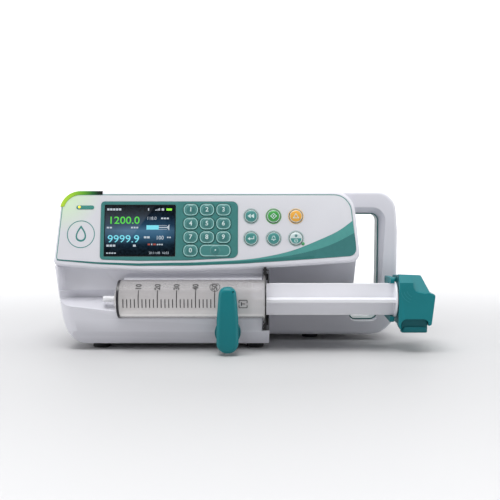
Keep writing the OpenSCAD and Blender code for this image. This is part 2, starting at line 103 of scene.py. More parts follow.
# ---------------------------------------------------------------- mesh helpers
def make(name, verts, faces, mat, body="root", slot=None, replaces=(), sharp=32, mats=None, idx=None, clean=True):
    me = bpy.data.meshes.new(name)
    me.from_pydata([(x * 0.001, y * 0.001, z * 0.001) for x, y, z in verts], [], faces)
    ob = bpy.data.objects.new(name, me)
    scene.collection.objects.link(ob)
    for m in (mats or [mat]):
        me.materials.append(m)
    if idx:
        for p, i in zip(me.polygons, idx):
            p.material_index = i
    if clean:
        bm = bmesh.new()
        bm.from_mesh(me)
        bmesh.ops.remove_doubles(bm, verts=bm.verts, dist=2e-6)
        bmesh.ops.recalc_face_normals(bm, faces=bm.faces)
        bm.to_mesh(me)
        bm.free()
    smooth(ob, sharp)
    if body:
        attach(ob, body)
    if replaces:
        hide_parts(*replaces)
    return ob


def smooth(ob, deg=32):
    ob.data.shade_smooth()
    if deg:
        ob.data.set_sharp_from_angle(angle=math.radians(deg))


def bevel(ob, w_mm, segs=3, deg=30, weld=False):
    if weld:
        w = ob.modifiers.new("weld", "WELD")
        w.merge_threshold = 2e-6
    b = ob.modifiers.new("bevel", "BEVEL")
    b.width = w_mm * 0.001
    b.segments = segs
    b.limit_method = "ANGLE"
    b.angle_limit = math.radians(deg)
    b.use_clamp_overlap = True
    b.harden_normals = False
    n = ob.modifiers.new("normals", "WEIGHTED_NORMAL")
    n.keep_sharp = False
    n.weight = 60
    return ob


def loft(rings, cap0=True, cap1=True):
    """Closed rings with the same number of points, joined by quads."""
    verts, faces, n = [], [], len(rings[0])
    for r in rings:
        verts += r
    for k in range(len(rings) - 1):
        a, b = k * n, (k + 1) * n
        for i in range(n):
            j = (i + 1) % n
            faces.append((a + i, a + j, b + j, b + i))
    if cap0:
        faces.append(tuple(range(n - 1, -1, -1)))
    if cap1:
        m = (len(rings) - 1) * n
        faces.append(tuple(range(m, m + n)))
    return verts, faces


def fillet_steps(r, n=5):
    return [(r * (1 - math.cos(math.radians(90 * i / n))), r * (1 - math.sin(math.radians(90 * i / n)))) for i in range(n + 1)]


def soft_slab(c, y0, y1, r0=1.0, r1=0.0, n=8, steps=5):
    """Upright slab between two depths with rounded front (r0) and back (r1) edges."""
    rings = []
    if r0 > 0:
        for d, q in reversed(fillet_steps(r0, steps)):
            rings.append([(x, y0 + q, z) for x, z in rounded(inset(c, d), n)])
    else:
        rings.append([(x, y0, z) for x, z in rounded(c, n)])
    if r1 > 0:
        for d, q in fillet_steps(r1, steps):
            rings.append([(x, y1 - q, z) for x, z in rounded(inset(c, d), n)])
    else:
        rings.append([(x, y1, z) for x, z in rounded(c, n)])
    return loft(rings)


def panel_plate(c, n0, n1, r=0.0, n=8, steps=3):
    rings = [[on_panel(x, z, n0) for x, z in rounded(c, n)]]
    if r > 0:
        for d, q in fillet_steps(r, steps):
            rings.append([on_panel(x, z, n1 - q) for x, z in rounded(inset(c, d), n)])
    else:
        rings.append([on_panel(x, z, n1) for x, z in rounded(c, n)])
    return loft(rings)


def lathe_x(profile, cy, cz, seg=96, closed=True):
    """Profile points (radius, x) turned round a line along X. closed joins the last point to the first."""
    rings = []
    for r, x in profile:
        rings.append([(x, cy + max(r, 0.001) * math.cos(2 * math.pi * i / seg), cz + max(r, 0.001) * math.sin(2 * math.pi * i / seg)) for i in range(seg)])
    if closed:
        rings.append(rings[0])
        return loft(rings, False, False)
    return loft(rings)


def lathe_y(profile, cx, cz, seg=64):
    rings = [[(cx + max(r, 0.001) * math.cos(2 * math.pi * i / seg), y, cz + max(r, 0.001) * math.sin(2 * math.pi * i / seg)) for i in range(seg)] for r, y in profile]
    return loft(rings)


def lathe_z(profile, cx, cy, seg=64):
    rings = [[(cx + max(r, 0.001) * math.cos(2 * math.pi * i / seg), cy + max(r, 0.001) * math.sin(2 * math.pi * i / seg), z) for i in range(seg)] for r, z in profile]
    return loft(rings)


def prism_x(poly, x0, x1):
    return loft([[(x0, y, z) for y, z in poly], [(x1, y, z) for y, z in poly]])


def prism_y(poly, y0, y1):
    return loft([[(x, y0, z) for x, z in poly], [(x, y1, z) for x, z in poly]])


def prism_z(poly, z0, z1):
    return loft([[(x, y, z0) for x, y in poly], [(x, y, z1) for x, y in poly]])


def joined(parts):
    verts, faces = [], []
    for v, f in parts:
        k = len(verts)
        verts += v
        faces += [tuple(i + k for i in q) for q in f]
    return verts, faces


def cutter(parts, name="cut"):
    v, f = joined(parts)
    return make(name, v, f, None, body=None, mats=[], clean=True)


def boolean(ob, cut, op="DIFFERENCE", deg=32):
    """Applies a boolean and deletes the cutter, so that only finished meshes are left."""
    m = ob.modifiers.new("cut", "BOOLEAN")
    m.operation = op
    m.solver = "EXACT"
    m.object = cut
    m.use_self = False
    dg = bpy.context.evaluated_depsgraph_get()
    ev = ob.evaluated_get(dg)
    new = bpy.data.meshes.new_from_object(ev, preserve_all_data_layers=True, depsgraph=dg)
    ob.modifiers.clear()
    old = ob.data
    ob.data = new
    bpy.data.meshes.remove(old)
    cm = cut.data
    bpy.data.objects.remove(cut)
    bpy.data.meshes.remove(cm)
    bm = bmesh.new()
    bm.from_mesh(ob.data)
    bmesh.ops.remove_doubles(bm, verts=bm.verts, dist=4e-6)
    bmesh.ops.dissolve_degenerate(bm, dist=4e-6, edges=bm.edges)
    bmesh.ops.dissolve_limit(bm, angle_limit=math.radians(0.6), verts=bm.verts, edges=bm.edges)
    bm.to_mesh(ob.data)
    bm.free()
    smooth(ob, deg)
    return ob


# ---------------------------------------------------------------- materials
def srgb(r, g, b):
    def f(u):
        u /= 255.0
        return u / 12.92 if u <= 0.04045 else ((u + 0.055) / 1.055) ** 2.4
    return (f(r), f(g), f(b), 1.0)


class Mat:
    def __init__(self, name):
        self.m = bpy.data.materials.new(name)
        self.m.use_nodes = True
        self.t = self.m.node_tree
        self.t.nodes.clear()
        self.out = self.n("ShaderNodeOutputMaterial")
        self.b = self.n("ShaderNodeBsdfPrincipled")
        self.l(self.b.outputs[0], self.out.inputs[0])
        self.co = self.n("ShaderNodeTexCoord").outputs["Object"]

    def n(self, kind, **kw):
        x = self.t.nodes.new(kind)
        for k, v in kw.items():
            setattr(x, k, v)
        return x

    def l(self, a, b):
        self.t.links.new(a, b)

    def noise(self, scale, detail=3.0, rough=0.5, vec=None):
        x = self.n("ShaderNodeTexNoise")
        x.inputs["Scale"].default_value = scale
        x.inputs["Detail"].default_value = detail
        x.inputs["Roughness"].default_value = rough
        self.l(vec or self.co, x.inputs["Vector"])
        return x.outputs["Fac"]

    def ramp(self, fac, stops, interp="LINEAR"):
        x = self.n("ShaderNodeValToRGB")
        x.color_ramp.interpolation = interp
        e = x.color_ramp.elements
        while len(e) < len(stops):
            e.new(0.5)
        for k, (p, c) in enumerate(stops):
            e[k].position = p
            e[k].color = c if len(c) == 4 else (*c, 1)
        self.l(fac, x.inputs["Fac"])
        return x.outputs["Color"]

    def span(self, v, a0, a1, b0, b1, clamp=True):
        x = self.n("ShaderNodeMapRange")
        x.clamp = clamp
        for k, q in zip(("From Min", "From Max", "To Min", "To Max"), (a0, a1, b0, b1)):
            x.inputs[k].default_value = q
        self.l(v, x.inputs["Value"])
        return x.outputs["Result"]

    def mix(self, fac, a, b, blend="MIX"):
        x = self.n("ShaderNodeMix", data_type="RGBA", blend_type=blend)
        for s, v in ((x.inputs["Factor"], fac), (x.inputs["A"], a), (x.inputs["B"], b)):
            if hasattr(v, "is_output"):
                self.l(v, s)
            else:
                s.default_value = v
        return x.outputs["Result"]

    def bump(self, h, dist, strength=1.0, normal=None):
        x = self.n("ShaderNodeBump")
        x.inputs["Distance"].default_value = dist
        x.inputs["Strength"].default_value = strength
        self.l(h, x.inputs["Height"])
        if normal is not None:
            self.l(normal, x.inputs["Normal"])
        return x.outputs["Normal"]

    def set(self, **kw):
        for k, v in kw.items():
            self.b.inputs[k.replace("_", " ")].default_value = v
        return self


def tone(c, k):
    return (min(c[0] * k, 1), min(c[1] * k, 1), min(c[2] * k, 1), 1)


def plastic(name, col, rough=0.45, var=0.05, grain=2600.0, depth=0.00002, rvar=0.08, edge_highlight=0.10, coat=0.0, spec=0.5):
    """Moulded plastic: fine spark-eroded grain, faint flow mottling, and a painted highlight that makes convex edges
    slightly paler.
    """
    m = Mat(name)
    big = m.noise(22, 2)
    c = m.ramp(big, [(0.3, tone(col, 1 - var)), (0.7, tone(col, 1 + var * 0.6))])
    # painted highlight: convex edges (high pointiness) are mixed towards a 25% paler tone
    geo = m.n("ShaderNodeNewGeometry")
    edge = m.span(geo.outputs["Pointiness"], 0.53, 0.62, 0.0, edge_highlight)
    c = m.mix(edge, c, tone(col, 1.25))
    m.l(c, m.b.inputs["Base Color"])
    fine = m.noise(grain, 2, 0.6)
    m.l(m.span(m.noise(60, 4, 0.6), 0.25, 0.75, rough - rvar, rough + rvar), m.b.inputs["Roughness"])
    m.l(m.bump(fine, depth, 0.6), m.b.inputs["Normal"])
    m.set(Coat_Weight=coat, Coat_Roughness=0.15, Specular_IOR_Level=spec)
    return m.m


def metal(name, col, rough=0.3, axis=0, scale=900.0, depth=0.000008):
    """Machined metal: fine lines along one axis and a little stain."""
    m = Mat(name)
    mp = m.n("ShaderNodeMapping")
    sc = [scale, scale, scale]
    sc[axis] = scale * 0.02
    mp.inputs["Scale"].default_value = sc
    m.l(m.co, mp.inputs["Vector"])
    lines = m.noise(1.0, 3, 0.6, vec=mp.outputs["Vector"])
    m.l(m.ramp(m.noise(35, 3), [(0.3, tone(col, 0.86)), (0.7, tone(col, 1.05))]), m.b.inputs["Base Color"])
    m.l(m.span(lines, 0.2, 0.8, rough - 0.08, rough + 0.12), m.b.inputs["Roughness"])
    m.l(m.bump(lines, depth, 0.7), m.b.inputs["Normal"])
    m.set(Metallic=1.0)
    return m.m


def rubber(name, col, rough=0.7, grain=1800.0, depth=0.00003):
    m = Mat(name)
    m.l(m.ramp(m.noise(40, 4), [(0.3, tone(col, 0.85)), (0.75, tone(col, 1.25))]), m.b.inputs["Base Color"])
    m.l(m.span(m.noise(90, 3), 0.2, 0.8, rough - 0.1, rough + 0.1), m.b.inputs["Roughness"])
    m.l(m.bump(m.noise(grain, 3), depth, 0.8), m.b.inputs["Normal"])
    m.set(Specular_IOR_Level=0.3)
    return m.m


def print_ink(name, col, rough=0.35, var=0.04, emit=0.0):
    """Screen-printed ink under a satin film."""
    m = Mat(name)
    c = m.ramp(m.noise(300, 2), [(0.3, tone(col, 1 - var)), (0.7, tone(col, 1 + var))])
    m.l(c, m.b.inputs["Base Color"])
    m.l(m.span(m.noise(120, 3), 0.2, 0.8, rough - 0.05, rough + 0.05), m.b.inputs["Roughness"])
    m.l(m.bump(m.noise(3000, 2), 0.000006, 0.4), m.b.inputs["Normal"])
    if emit:
        m.l(c, m.b.inputs["Emission Color"])
        m.set(Emission_Strength=emit)
    return m.m


SHELL = plastic("shell_abs", srgb(216, 216, 223), 0.42, 0.02, 2600, 0.000018, 0.05, 0.20)
SHELL_LOW = plastic("shell_abs_rear", srgb(212, 212, 219), 0.46, 0.02, 2400, 0.00002, 0.05, 0.20)
TEAL_BODY = plastic("pusher_abs", srgb(6, 120, 127), 0.44, 0.06, 2200, 0.00002, 0.06, 0.30, spec=0.32)
# darker copy of the pusher's teal: painted shade for the paddle, which sits low under the pusher and faces down; the
# clamp collar uses it too
TEAL_DARK = plastic("paddle_abs_shaded", srgb(4, 96, 103), 0.46, 0.06, 2200, 0.00002, 0.06, 0.30, spec=0.30)
TEAL_TRIM = plastic("trim_abs", srgb(45, 98, 98), 0.35, 0.05, 2200, 0.00001, 0.05, 0.3)
TEAL_FRAME = print_ink("surround_teal", srgb(62, 124, 121), 0.33, 0.05)
DARK = plastic("dark_nylon", srgb(78, 80, 84), 0.55, 0.08, 1800, 0.00003, 0.08, 0.3)
BLACK = plastic("black_nylon", srgb(26, 26, 28), 0.5, 0.08, 1800, 0.00003, 0.08, 0.3)
PLUNGER = plastic("plunger_pp", srgb(235, 235, 240), 0.32, 0.02, 900, 0.00001, 0.05, 0.15, spec=0.45)
FOOT = rubber("foot_rubber", srgb(34, 34, 36))
STOPPER = rubber("stopper_rubber", srgb(196, 196, 200), 0.45)
STEEL = metal("tube_steel", (0.72, 0.73, 0.75, 1), 0.22, 0)
ZINC = metal("zinc_plate", (0.62, 0.63, 0.66, 1), 0.35, 2)
ALLOY = metal("cast_alloy", (0.56, 0.58, 0.61, 1), 0.42, 0)
BRASS = metal("brass", (0.72, 0.55, 0.26, 1), 0.3, 1)
BOARD = plastic("board", srgb(20, 88, 52), 0.4, 0.15, 1200, 0.00002)
CELL = plastic("cell_wrap", srgb(38, 72, 140), 0.25, 0.05, 900, 0.00001)

# ---------------------------------------------------------------- stage
def build_stage():
    pts, n = [], 24
    pts.append((-40.0, 0.0))
    for i in range(n + 1):
        a = math.radians(90 * i / n)
        pts.append((2.2 + 1.2 * math.sin(a), 1.2 * (1 - math.cos(a))))
    pts.append((3.4, 4.0))
    verts, faces = [], []
    for y, z in pts:
        verts += [(-40000, y * 1000, z * 1000), (40000, y * 1000, z * 1000)]
    for i in range(len(pts) - 1):
        faces.append((2 * i, 2 * i + 1, 2 * i + 3, 2 * i + 2))
    m = Mat("pale_floor")
    d = m.n("ShaderNodeVectorMath", operation="DISTANCE")
    m.l(m.co, d.inputs[0])
    d.inputs[1].default_value = (0.0, 0.0, 0.0)
    # painted shadow: the floor colour darkens from pale grey far off to mid grey near the object
    near = m.span(d.outputs["Value"], 0.16, 0.70, 0.0, 1.0)
    c = m.mix(near, srgb(190, 190, 191), srgb(240, 240, 241))
    m.l(m.mix(m.span(m.noise(4, 2), 0.3, 0.7, 0.0, 0.03), c, srgb(210, 210, 212)), m.b.inputs["Base Color"])
    m.set(Roughness=0.6, Specular_IOR_Level=0.2)
    ob = make("floor", verts, faces, m.m, body=None, clean=False)


def area(name, loc, target, size, power, col=(1, 1, 1)):
    d = bpy.data.lights.new(name, "AREA")
    d.shape = "RECTANGLE"
    d.size, d.size_y = size
    d.energy = power
    d.color = col
    o = bpy.data.objects.new(name, d)
    scene.collection.objects.link(o)
    o.location = loc
    o.rotation_euler = (Vector(target) - Vector(loc)).to_track_quat("-Z", "Y").to_euler()
    return o


def build_camera_and_light():
    cam = bpy.data.cameras.new("camera")
    cam.sensor_width = 36.0
    cam.lens = 36.0 * 790 / 500
    cam.clip_start, cam.clip_end = 0.02, 30
    o = bpy.data.objects.new("camera", cam)
    scene.collection.objects.link(o)
    o.location = (0.0065, -0.694, 0.132)
    o.rotation_euler = (math.radians(90 - 4.25), 0, 0)
    scene.camera = o
    w = bpy.data.worlds.new("studio")
    scene.world = w
    w.use_nodes = True
    w.node_tree.nodes["Background"].inputs["Color"].default_value = (0.96, 0.97, 1.0, 1)
    w.node_tree.nodes["Background"].inputs["Strength"].default_value = 0.27
    area("key", (-0.15, -0.42, 1.30), (0, -0.03, 0.05), (0.9, 0.6), 13.0)
    area("top", (0.1, 0.35, 1.3), (0, 0.05, 0.05), (1.4, 0.8), 8.5)
    area("left", (-1.25, -0.35, 0.42), (-0.1, 0, 0.07), (0.5, 0.9), 5.6)
    area("right", (1.25, -0.35, 0.42), (0.1, 0, 0.07), (0.5, 0.9), 6.0)
    area("backdrop", (0.0, 1.3, 1.8), (0, 3.2, 0.6), (3.5, 1.2), 90)
    scene.view_settings.view_transform = "Standard"
    scene.view_settings.look = "None"
    scene.view_settings.exposure = 0.0


build_stage()
build_camera_and_light()

# ---------------------------------------------------------------- head housing
def build_head():
    rings = [[(x, 0.5, z) for x, z in rounded(HEAD)]]
    for d, q in fillet_steps(3.2, 6):
        rings.append([on_panel(x, z - 0.0, 0.0) if False else (x, PY + (z - PZ) * TT + q / CT, z) for x, z in rounded(inset(HEAD, d))])
    v, f = loft(rings)
    ob = make("head_shell", v, f, SHELL, slot="shell_white", replaces=["head_housing"])
    # recess of the overlay, with a fine seam round it, and openings of the keys
    cuts = [panel_plate(inset(OVER, -0.18), -0.85, 4)]
    boolean(ob, cutter(cuts))
    # groove of the light strip
    boolean(ob, cutter([alarm_solid(-2.0, 4, 0.12)]))
    boolean(ob, cutter([panel_plate(inset(SURR, 2.2), -4.2, 2)]))
    boolean(ob, cutter([round_hole(x, z, 5.95, -4.2, 2) for x, z in ROUNDS]))
    boolean(ob, cutter([round_hole(-135.9, 119.0, 1.25, -4.2, 2), round_hole(50.5, 88.6, 1.45, -4.2, 2)]))
    # room behind the panel
    c = [(-145, 76, 5), (88, 78, 5), (88, 128.5, 12), (-144, 128.5, 12)]
    boolean(ob, cutter([loft([[(x, PY + (z - PZ) * TT + 3.3 / CT, z) for x, z in rounded(c)], [(x, 3, z) for x, z in rounded(c)]])]))
    bevel(ob, 0.3, 2, 40)
    return ob


ROUNDS = [(x, z) for x in (7.4, 26.1, 44.7) for z in (111.2, 92.9)]


def round_hole(x, z, r, n0, n1, seg=40):
    """A round cutter square to the panel."""
    def ring(n):
        return [(x + r * math.cos(2 * math.pi * i / seg), PY + (z - PZ) * TT + r * math.sin(2 * math.pi * i / seg) * ST - n * CT,
                 z + r * math.sin(2 * math.pi * i / seg) * CT + n * ST) for i in range(seg)]
    return loft([ring(n0), ring(n1)])


def pill_hole(x, z, w, h, r, n0, n1):
    c = rounded([(-w / 2, -h / 2, r), (w / 2, -h / 2, r), (w / 2, h / 2, r), (-w / 2, h / 2, r)], 6)
    def ring(n):
        return [(x + a, PY + (z - PZ) * TT + b * ST - n * CT, z + b * CT + n * ST) for a, b in c]
    return loft([ring(n0), ring(n1)])


def alarm_path(d, n=14):
    """Points of the head outline, inset by d, from the top edge round the top left corner to z 119.2."""
    pts = rounded(inset(HEAD, d), n)[-(n + 1):]
    out = [(-116.8, pts[0][1])]
    for a, b in zip(pts, pts[1:]):
        out.append(a)
        if b[1] < 119.2:
            t = (a[1] - 119.2) / (a[1] - b[1])
            out.append((a[0] + (b[0] - a[0]) * t, 119.2))
            break
    return out


def alarm_solid(n0, n1, g=0.0):
    outer = alarm_path(0.05 - g)
    inner = alarm_path(3.3 + g)
    ring0, ring1 = [], []
    loop = outer + inner[::-1]
    ring0 = [on_panel(x, z, n0) for x, z in loop]
    ring1 = [on_panel(x, z, n1) for x, z in loop]
    return loft([ring0, ring1])


def gradient_mat(name, stops, axis, a0, a1, rough=0.3, emit=0.0, alpha_coat=0.3):
    """Colour that runs along one axis of the object, in metres from a0 to a1."""
    m = Mat(name)
    s = m.n("ShaderNodeSeparateXYZ")
    m.l(m.co, s.inputs[0])
    f = m.span(s.outputs[axis], a0, a1, 0, 1)
    c = m.ramp(f, stops)
    m.l(c, m.b.inputs["Base Color"])
    m.l(m.span(m.noise(200, 2), 0.2, 0.8, rough - 0.05, rough + 0.05), m.b.inputs["Roughness"])
    m.l(m.bump(m.noise(1500, 2), 0.000006, 0.4), m.b.inputs["Normal"])
    m.set(Coat_Weight=alpha_coat, Coat_Roughness=0.1)
    if emit:
        m.l(c, m.b.inputs["Emission Color"])
        m.set(Emission_Strength=emit)
    return m.m


def overlay_mat():
    """Light grey film, a little warmer low down, with a painted green glow where the light strip's light falls on it.
    """
    m = Mat("overlay_film")
    s = m.n("ShaderNodeSeparateXYZ")
    m.l(m.co, s.inputs[0])
    base = m.ramp(m.span(s.outputs["Z"], 0.072, 0.131, 0, 1), [(0.0, srgb(214, 214, 220)), (1.0, srgb(212, 213, 218))])
    base = m.mix(m.span(m.noise(45, 3), 0.3, 0.7, 0.0, 0.05), base, srgb(200, 200, 206))
    # painted light: the strip's green glow, strongest at its top left corner and fading over 34 mm
    d = m.n("ShaderNodeVectorMath", operation="DISTANCE")
    m.l(m.co, d.inputs[0])
    d.inputs[1].default_value = (-0.1510, -0.0325, 0.1310)
    glow = m.span(d.outputs["Value"], 0.004, 0.034, 0.85, 0.0)
    base = m.mix(glow, base, srgb(206, 240, 188))
    m.l(base, m.b.inputs["Base Color"])
    m.l(m.span(m.noise(150, 3), 0.2, 0.8, 0.30, 0.40), m.b.inputs["Roughness"])
    m.l(m.bump(m.noise(2600, 2), 0.000008, 0.5), m.b.inputs["Normal"])
    return m.m


def build_overlay():
    v, f = panel_plate(OVER, -0.8, 0.05, 0.15)
    ob = make("overlay_film", v, f, overlay_mat(), slot="overlay_grey", replaces=["panel_overlay"])
    boolean(ob, cutter([panel_plate(inset(SURR, -0.15), -2, 2)]))
    boolean(ob, cutter([round_hole(x, z, 5.85, -2, 2) for x, z in ROUNDS]))
    boolean(ob, cutter([round_hole(-135.9, 119.0, 1.2, -2, 2), round_hole(50.5, 88.6, 1.4, -2, 2)]))
    boolean(ob, cutter([alarm_solid(-3.0, 3, 0.15)]))
    return ob


def strip_between(outer, inner, n):
    """A flat ribbon on the panel between two point lists of the same length."""
    verts = [on_panel(x, z, n) for x, z in outer] + [on_panel(x, z, n) for x, z in inner]
    k = len(outer)
    return verts, [(i, i + 1, k + i + 1, k + i) for i in range(k - 1)]


def flat_poly(pts, n):
    return [on_panel(x, z, n) for x, z in pts], [tuple(range(len(pts)))]


def bezier(p0, p1, p2, p3, n=24):
    out = []
    for i in range(n + 1):
        t = i / n
        a, b, c, d = (1 - t) ** 3, 3 * t * (1 - t) ** 2, 3 * t * t * (1 - t), t ** 3
        out.append((a * p0[0] + b * p1[0] + c * p2[0] + d * p3[0], a * p0[1] + b * p1[1] + c * p2[1] + d * p3[1]))
    return out


def spline(pts, n=10):
    """Catmull-Rom through the points."""
    out = []
    q = [pts[0]] + list(pts) + [pts[-1]]
    for i in range(1, len(q) - 2):
        for j in range(n):
            t = j / n
            for_ = []
            for a in (0, 1):
                p0, p1, p2, p3 = q[i - 1][a], q[i][a], q[i + 1][a], q[i + 2][a]
                for_.append(0.5 * ((2 * p1) + (-p0 + p2) * t + (2 * p0 - 5 * p1 + 4 * p2 - p3) * t * t + (-p0 + 3 * p1 - 3 * p2 + p3) * t ** 3))
            out.append(tuple(for_))
    out.append(tuple(pts[-1]))
    return out


LINE_TEAL = print_ink("ink_teal_line", srgb(94, 156, 149), 0.35)
DEEP_TEAL = print_ink("ink_teal_deep", srgb(47, 111, 108), 0.35)
SWOOSH_L = print_ink("ink_swoosh_light", srgb(80, 150, 145), 0.33)
SWOOSH_D = print_ink("ink_swoosh_dark", srgb(58, 118, 117), 0.33)
WHITE_INK = print_ink("ink_white", srgb(232, 238, 238), 0.35)
BLACK_INK = print_ink("ink_black", srgb(46, 46, 50), 0.4)


def overlay_bottom(x):
    """Height of the overlay's lower edge at x."""
    pts = [(-154.0, 75.0), (-120, 72.0), (-86, 70.5), (-44, 70.7), (-2, 72.2), (46, 75.2), (95.2, 78.8)]
    for (x0, z0), (x1, z1) in zip(pts, pts[1:]):
        if x <= x1:
            return z0 + (z1 - z0) * (x - x0) / (x1 - x0)
    return pts[-1][1]


def build_graphics():
    n = 8
    o, i = rounded(inset(OVER, 0.15), n), rounded(inset(OVER, 0.75), n)
    verts, faces = strip_between(o + [o[0]], i + [i[0]], 0.09)
    make("print_border", verts, faces, LINE_TEAL, slot="teal_frame", clean=False)
    # deep line along the bottom, thickest in the middle
    up, low = [], []
    for k in range(61):
        x = -153.2 + (60.0 + 153.2) * k / 60
        t = (x + 153.2) / 213.2
        w = 0.9 + 1.5 * min(1, t * 2.2)
        low.append((x, overlay_bottom(x) + 0.12))
        up.append((x, overlay_bottom(x) + 0.12 + w))
    verts, faces = strip_between(up, low, 0.11)
    make("print_bottom_line", verts, faces, DEEP_TEAL, slot="teal_frame", clean=False)
    # swoosh: light crescent above, dark field below
    top = spline([(-40, 73.4), (-2, 75.3), (19.9, 78.1), (42, 83.2), (64.6, 92.0), (80, 99.2), (92.2, 107.8)])
    mid = spline([(-40, 72.9), (-2, 74.4), (19.9, 76.3), (42, 79.4), (64.6, 84.7), (80, 90.6), (93.2, 97.6)])
    verts, faces = strip_between(top, mid, 0.12)
    make("print_swoosh_light", verts, faces, SWOOSH_L, slot="teal_frame", clean=False)
    edge = []
    cut = rounded(inset(OVER, 0.15), n)
    right = [p for p in cut if p[0] > 60 and p[1] < 98]
    right.sort(key=lambda p: p[1])
    bottom = [(x, overlay_bottom(x) + 0.12) for x in (-40, -20, 0, 20, 40, 60, 80, 88)]
    corner = [p for p in cut[6 * (n + 1):7 * (n + 1)]]
    field = mid + list(reversed([(94.2, 90.0)])) + list(reversed(corner)) + list(reversed(bottom))
    verts, faces = flat_poly(field, 0.10)
    make("print_swoosh_dark", verts, faces, SWOOSH_D, slot="teal_frame", clean=False)


def build_alarm():
    v, f = alarm_solid(-1.9, 0.4)
    stops = [(0.0, srgb(176, 204, 62)), (0.30, srgb(150, 196, 54)), (0.58, srgb(92, 158, 44)), (0.80, srgb(30, 92, 40)), (0.92, srgb(16, 40, 24)), (1.0, srgb(12, 14, 14))]
    m = gradient_mat("alarm_light_pipe", stops, 0, -0.1545, -0.1175, 0.18, 0.15)
    ob = make("alarm_strip", v, f, m, slot="light_pipe", replaces=["alarm_light"])
    bevel(ob, 0.3, 2)


build_head()
build_overlay()
build_graphics()
build_alarm()

# ---------------------------------------------------------------- text and signs
def text_mesh(name, s, size, to3, mat, body="root", slot=None, align="CENTER", sx=1.0, thick=0.0):
    """A line of digits or signs from Blender's own font, laid on a surface by to3(x, y), sizes in mm."""
    cu = bpy.data.curves.new(name, "FONT")
    cu.body = s
    cu.size = size
    cu.align_x = align
    cu.align_y = "CENTER"
    cu.resolution_u = 4
    cu.offset = thick
    tmp = bpy.data.objects.new(name + "_t", cu)
    scene.collection.objects.link(tmp)
    dg = bpy.context.evaluated_depsgraph_get()
    me = bpy.data.meshes.new_from_object(tmp.evaluated_get(dg))
    verts = [to3(v.co.x * sx, v.co.y) for v in me.vertices]
    faces = [tuple(p.vertices) for p in me.polygons]
    bpy.data.objects.remove(tmp)
    bpy.data.curves.remove(cu)
    bpy.data.meshes.remove(me)
    return make(name, verts, faces, mat, body=body, slot=slot, clean=False, sharp=0)


def at_panel(cx, cz, n):
    return lambda x, y: on_panel(cx + x, cz + y * CT, n)


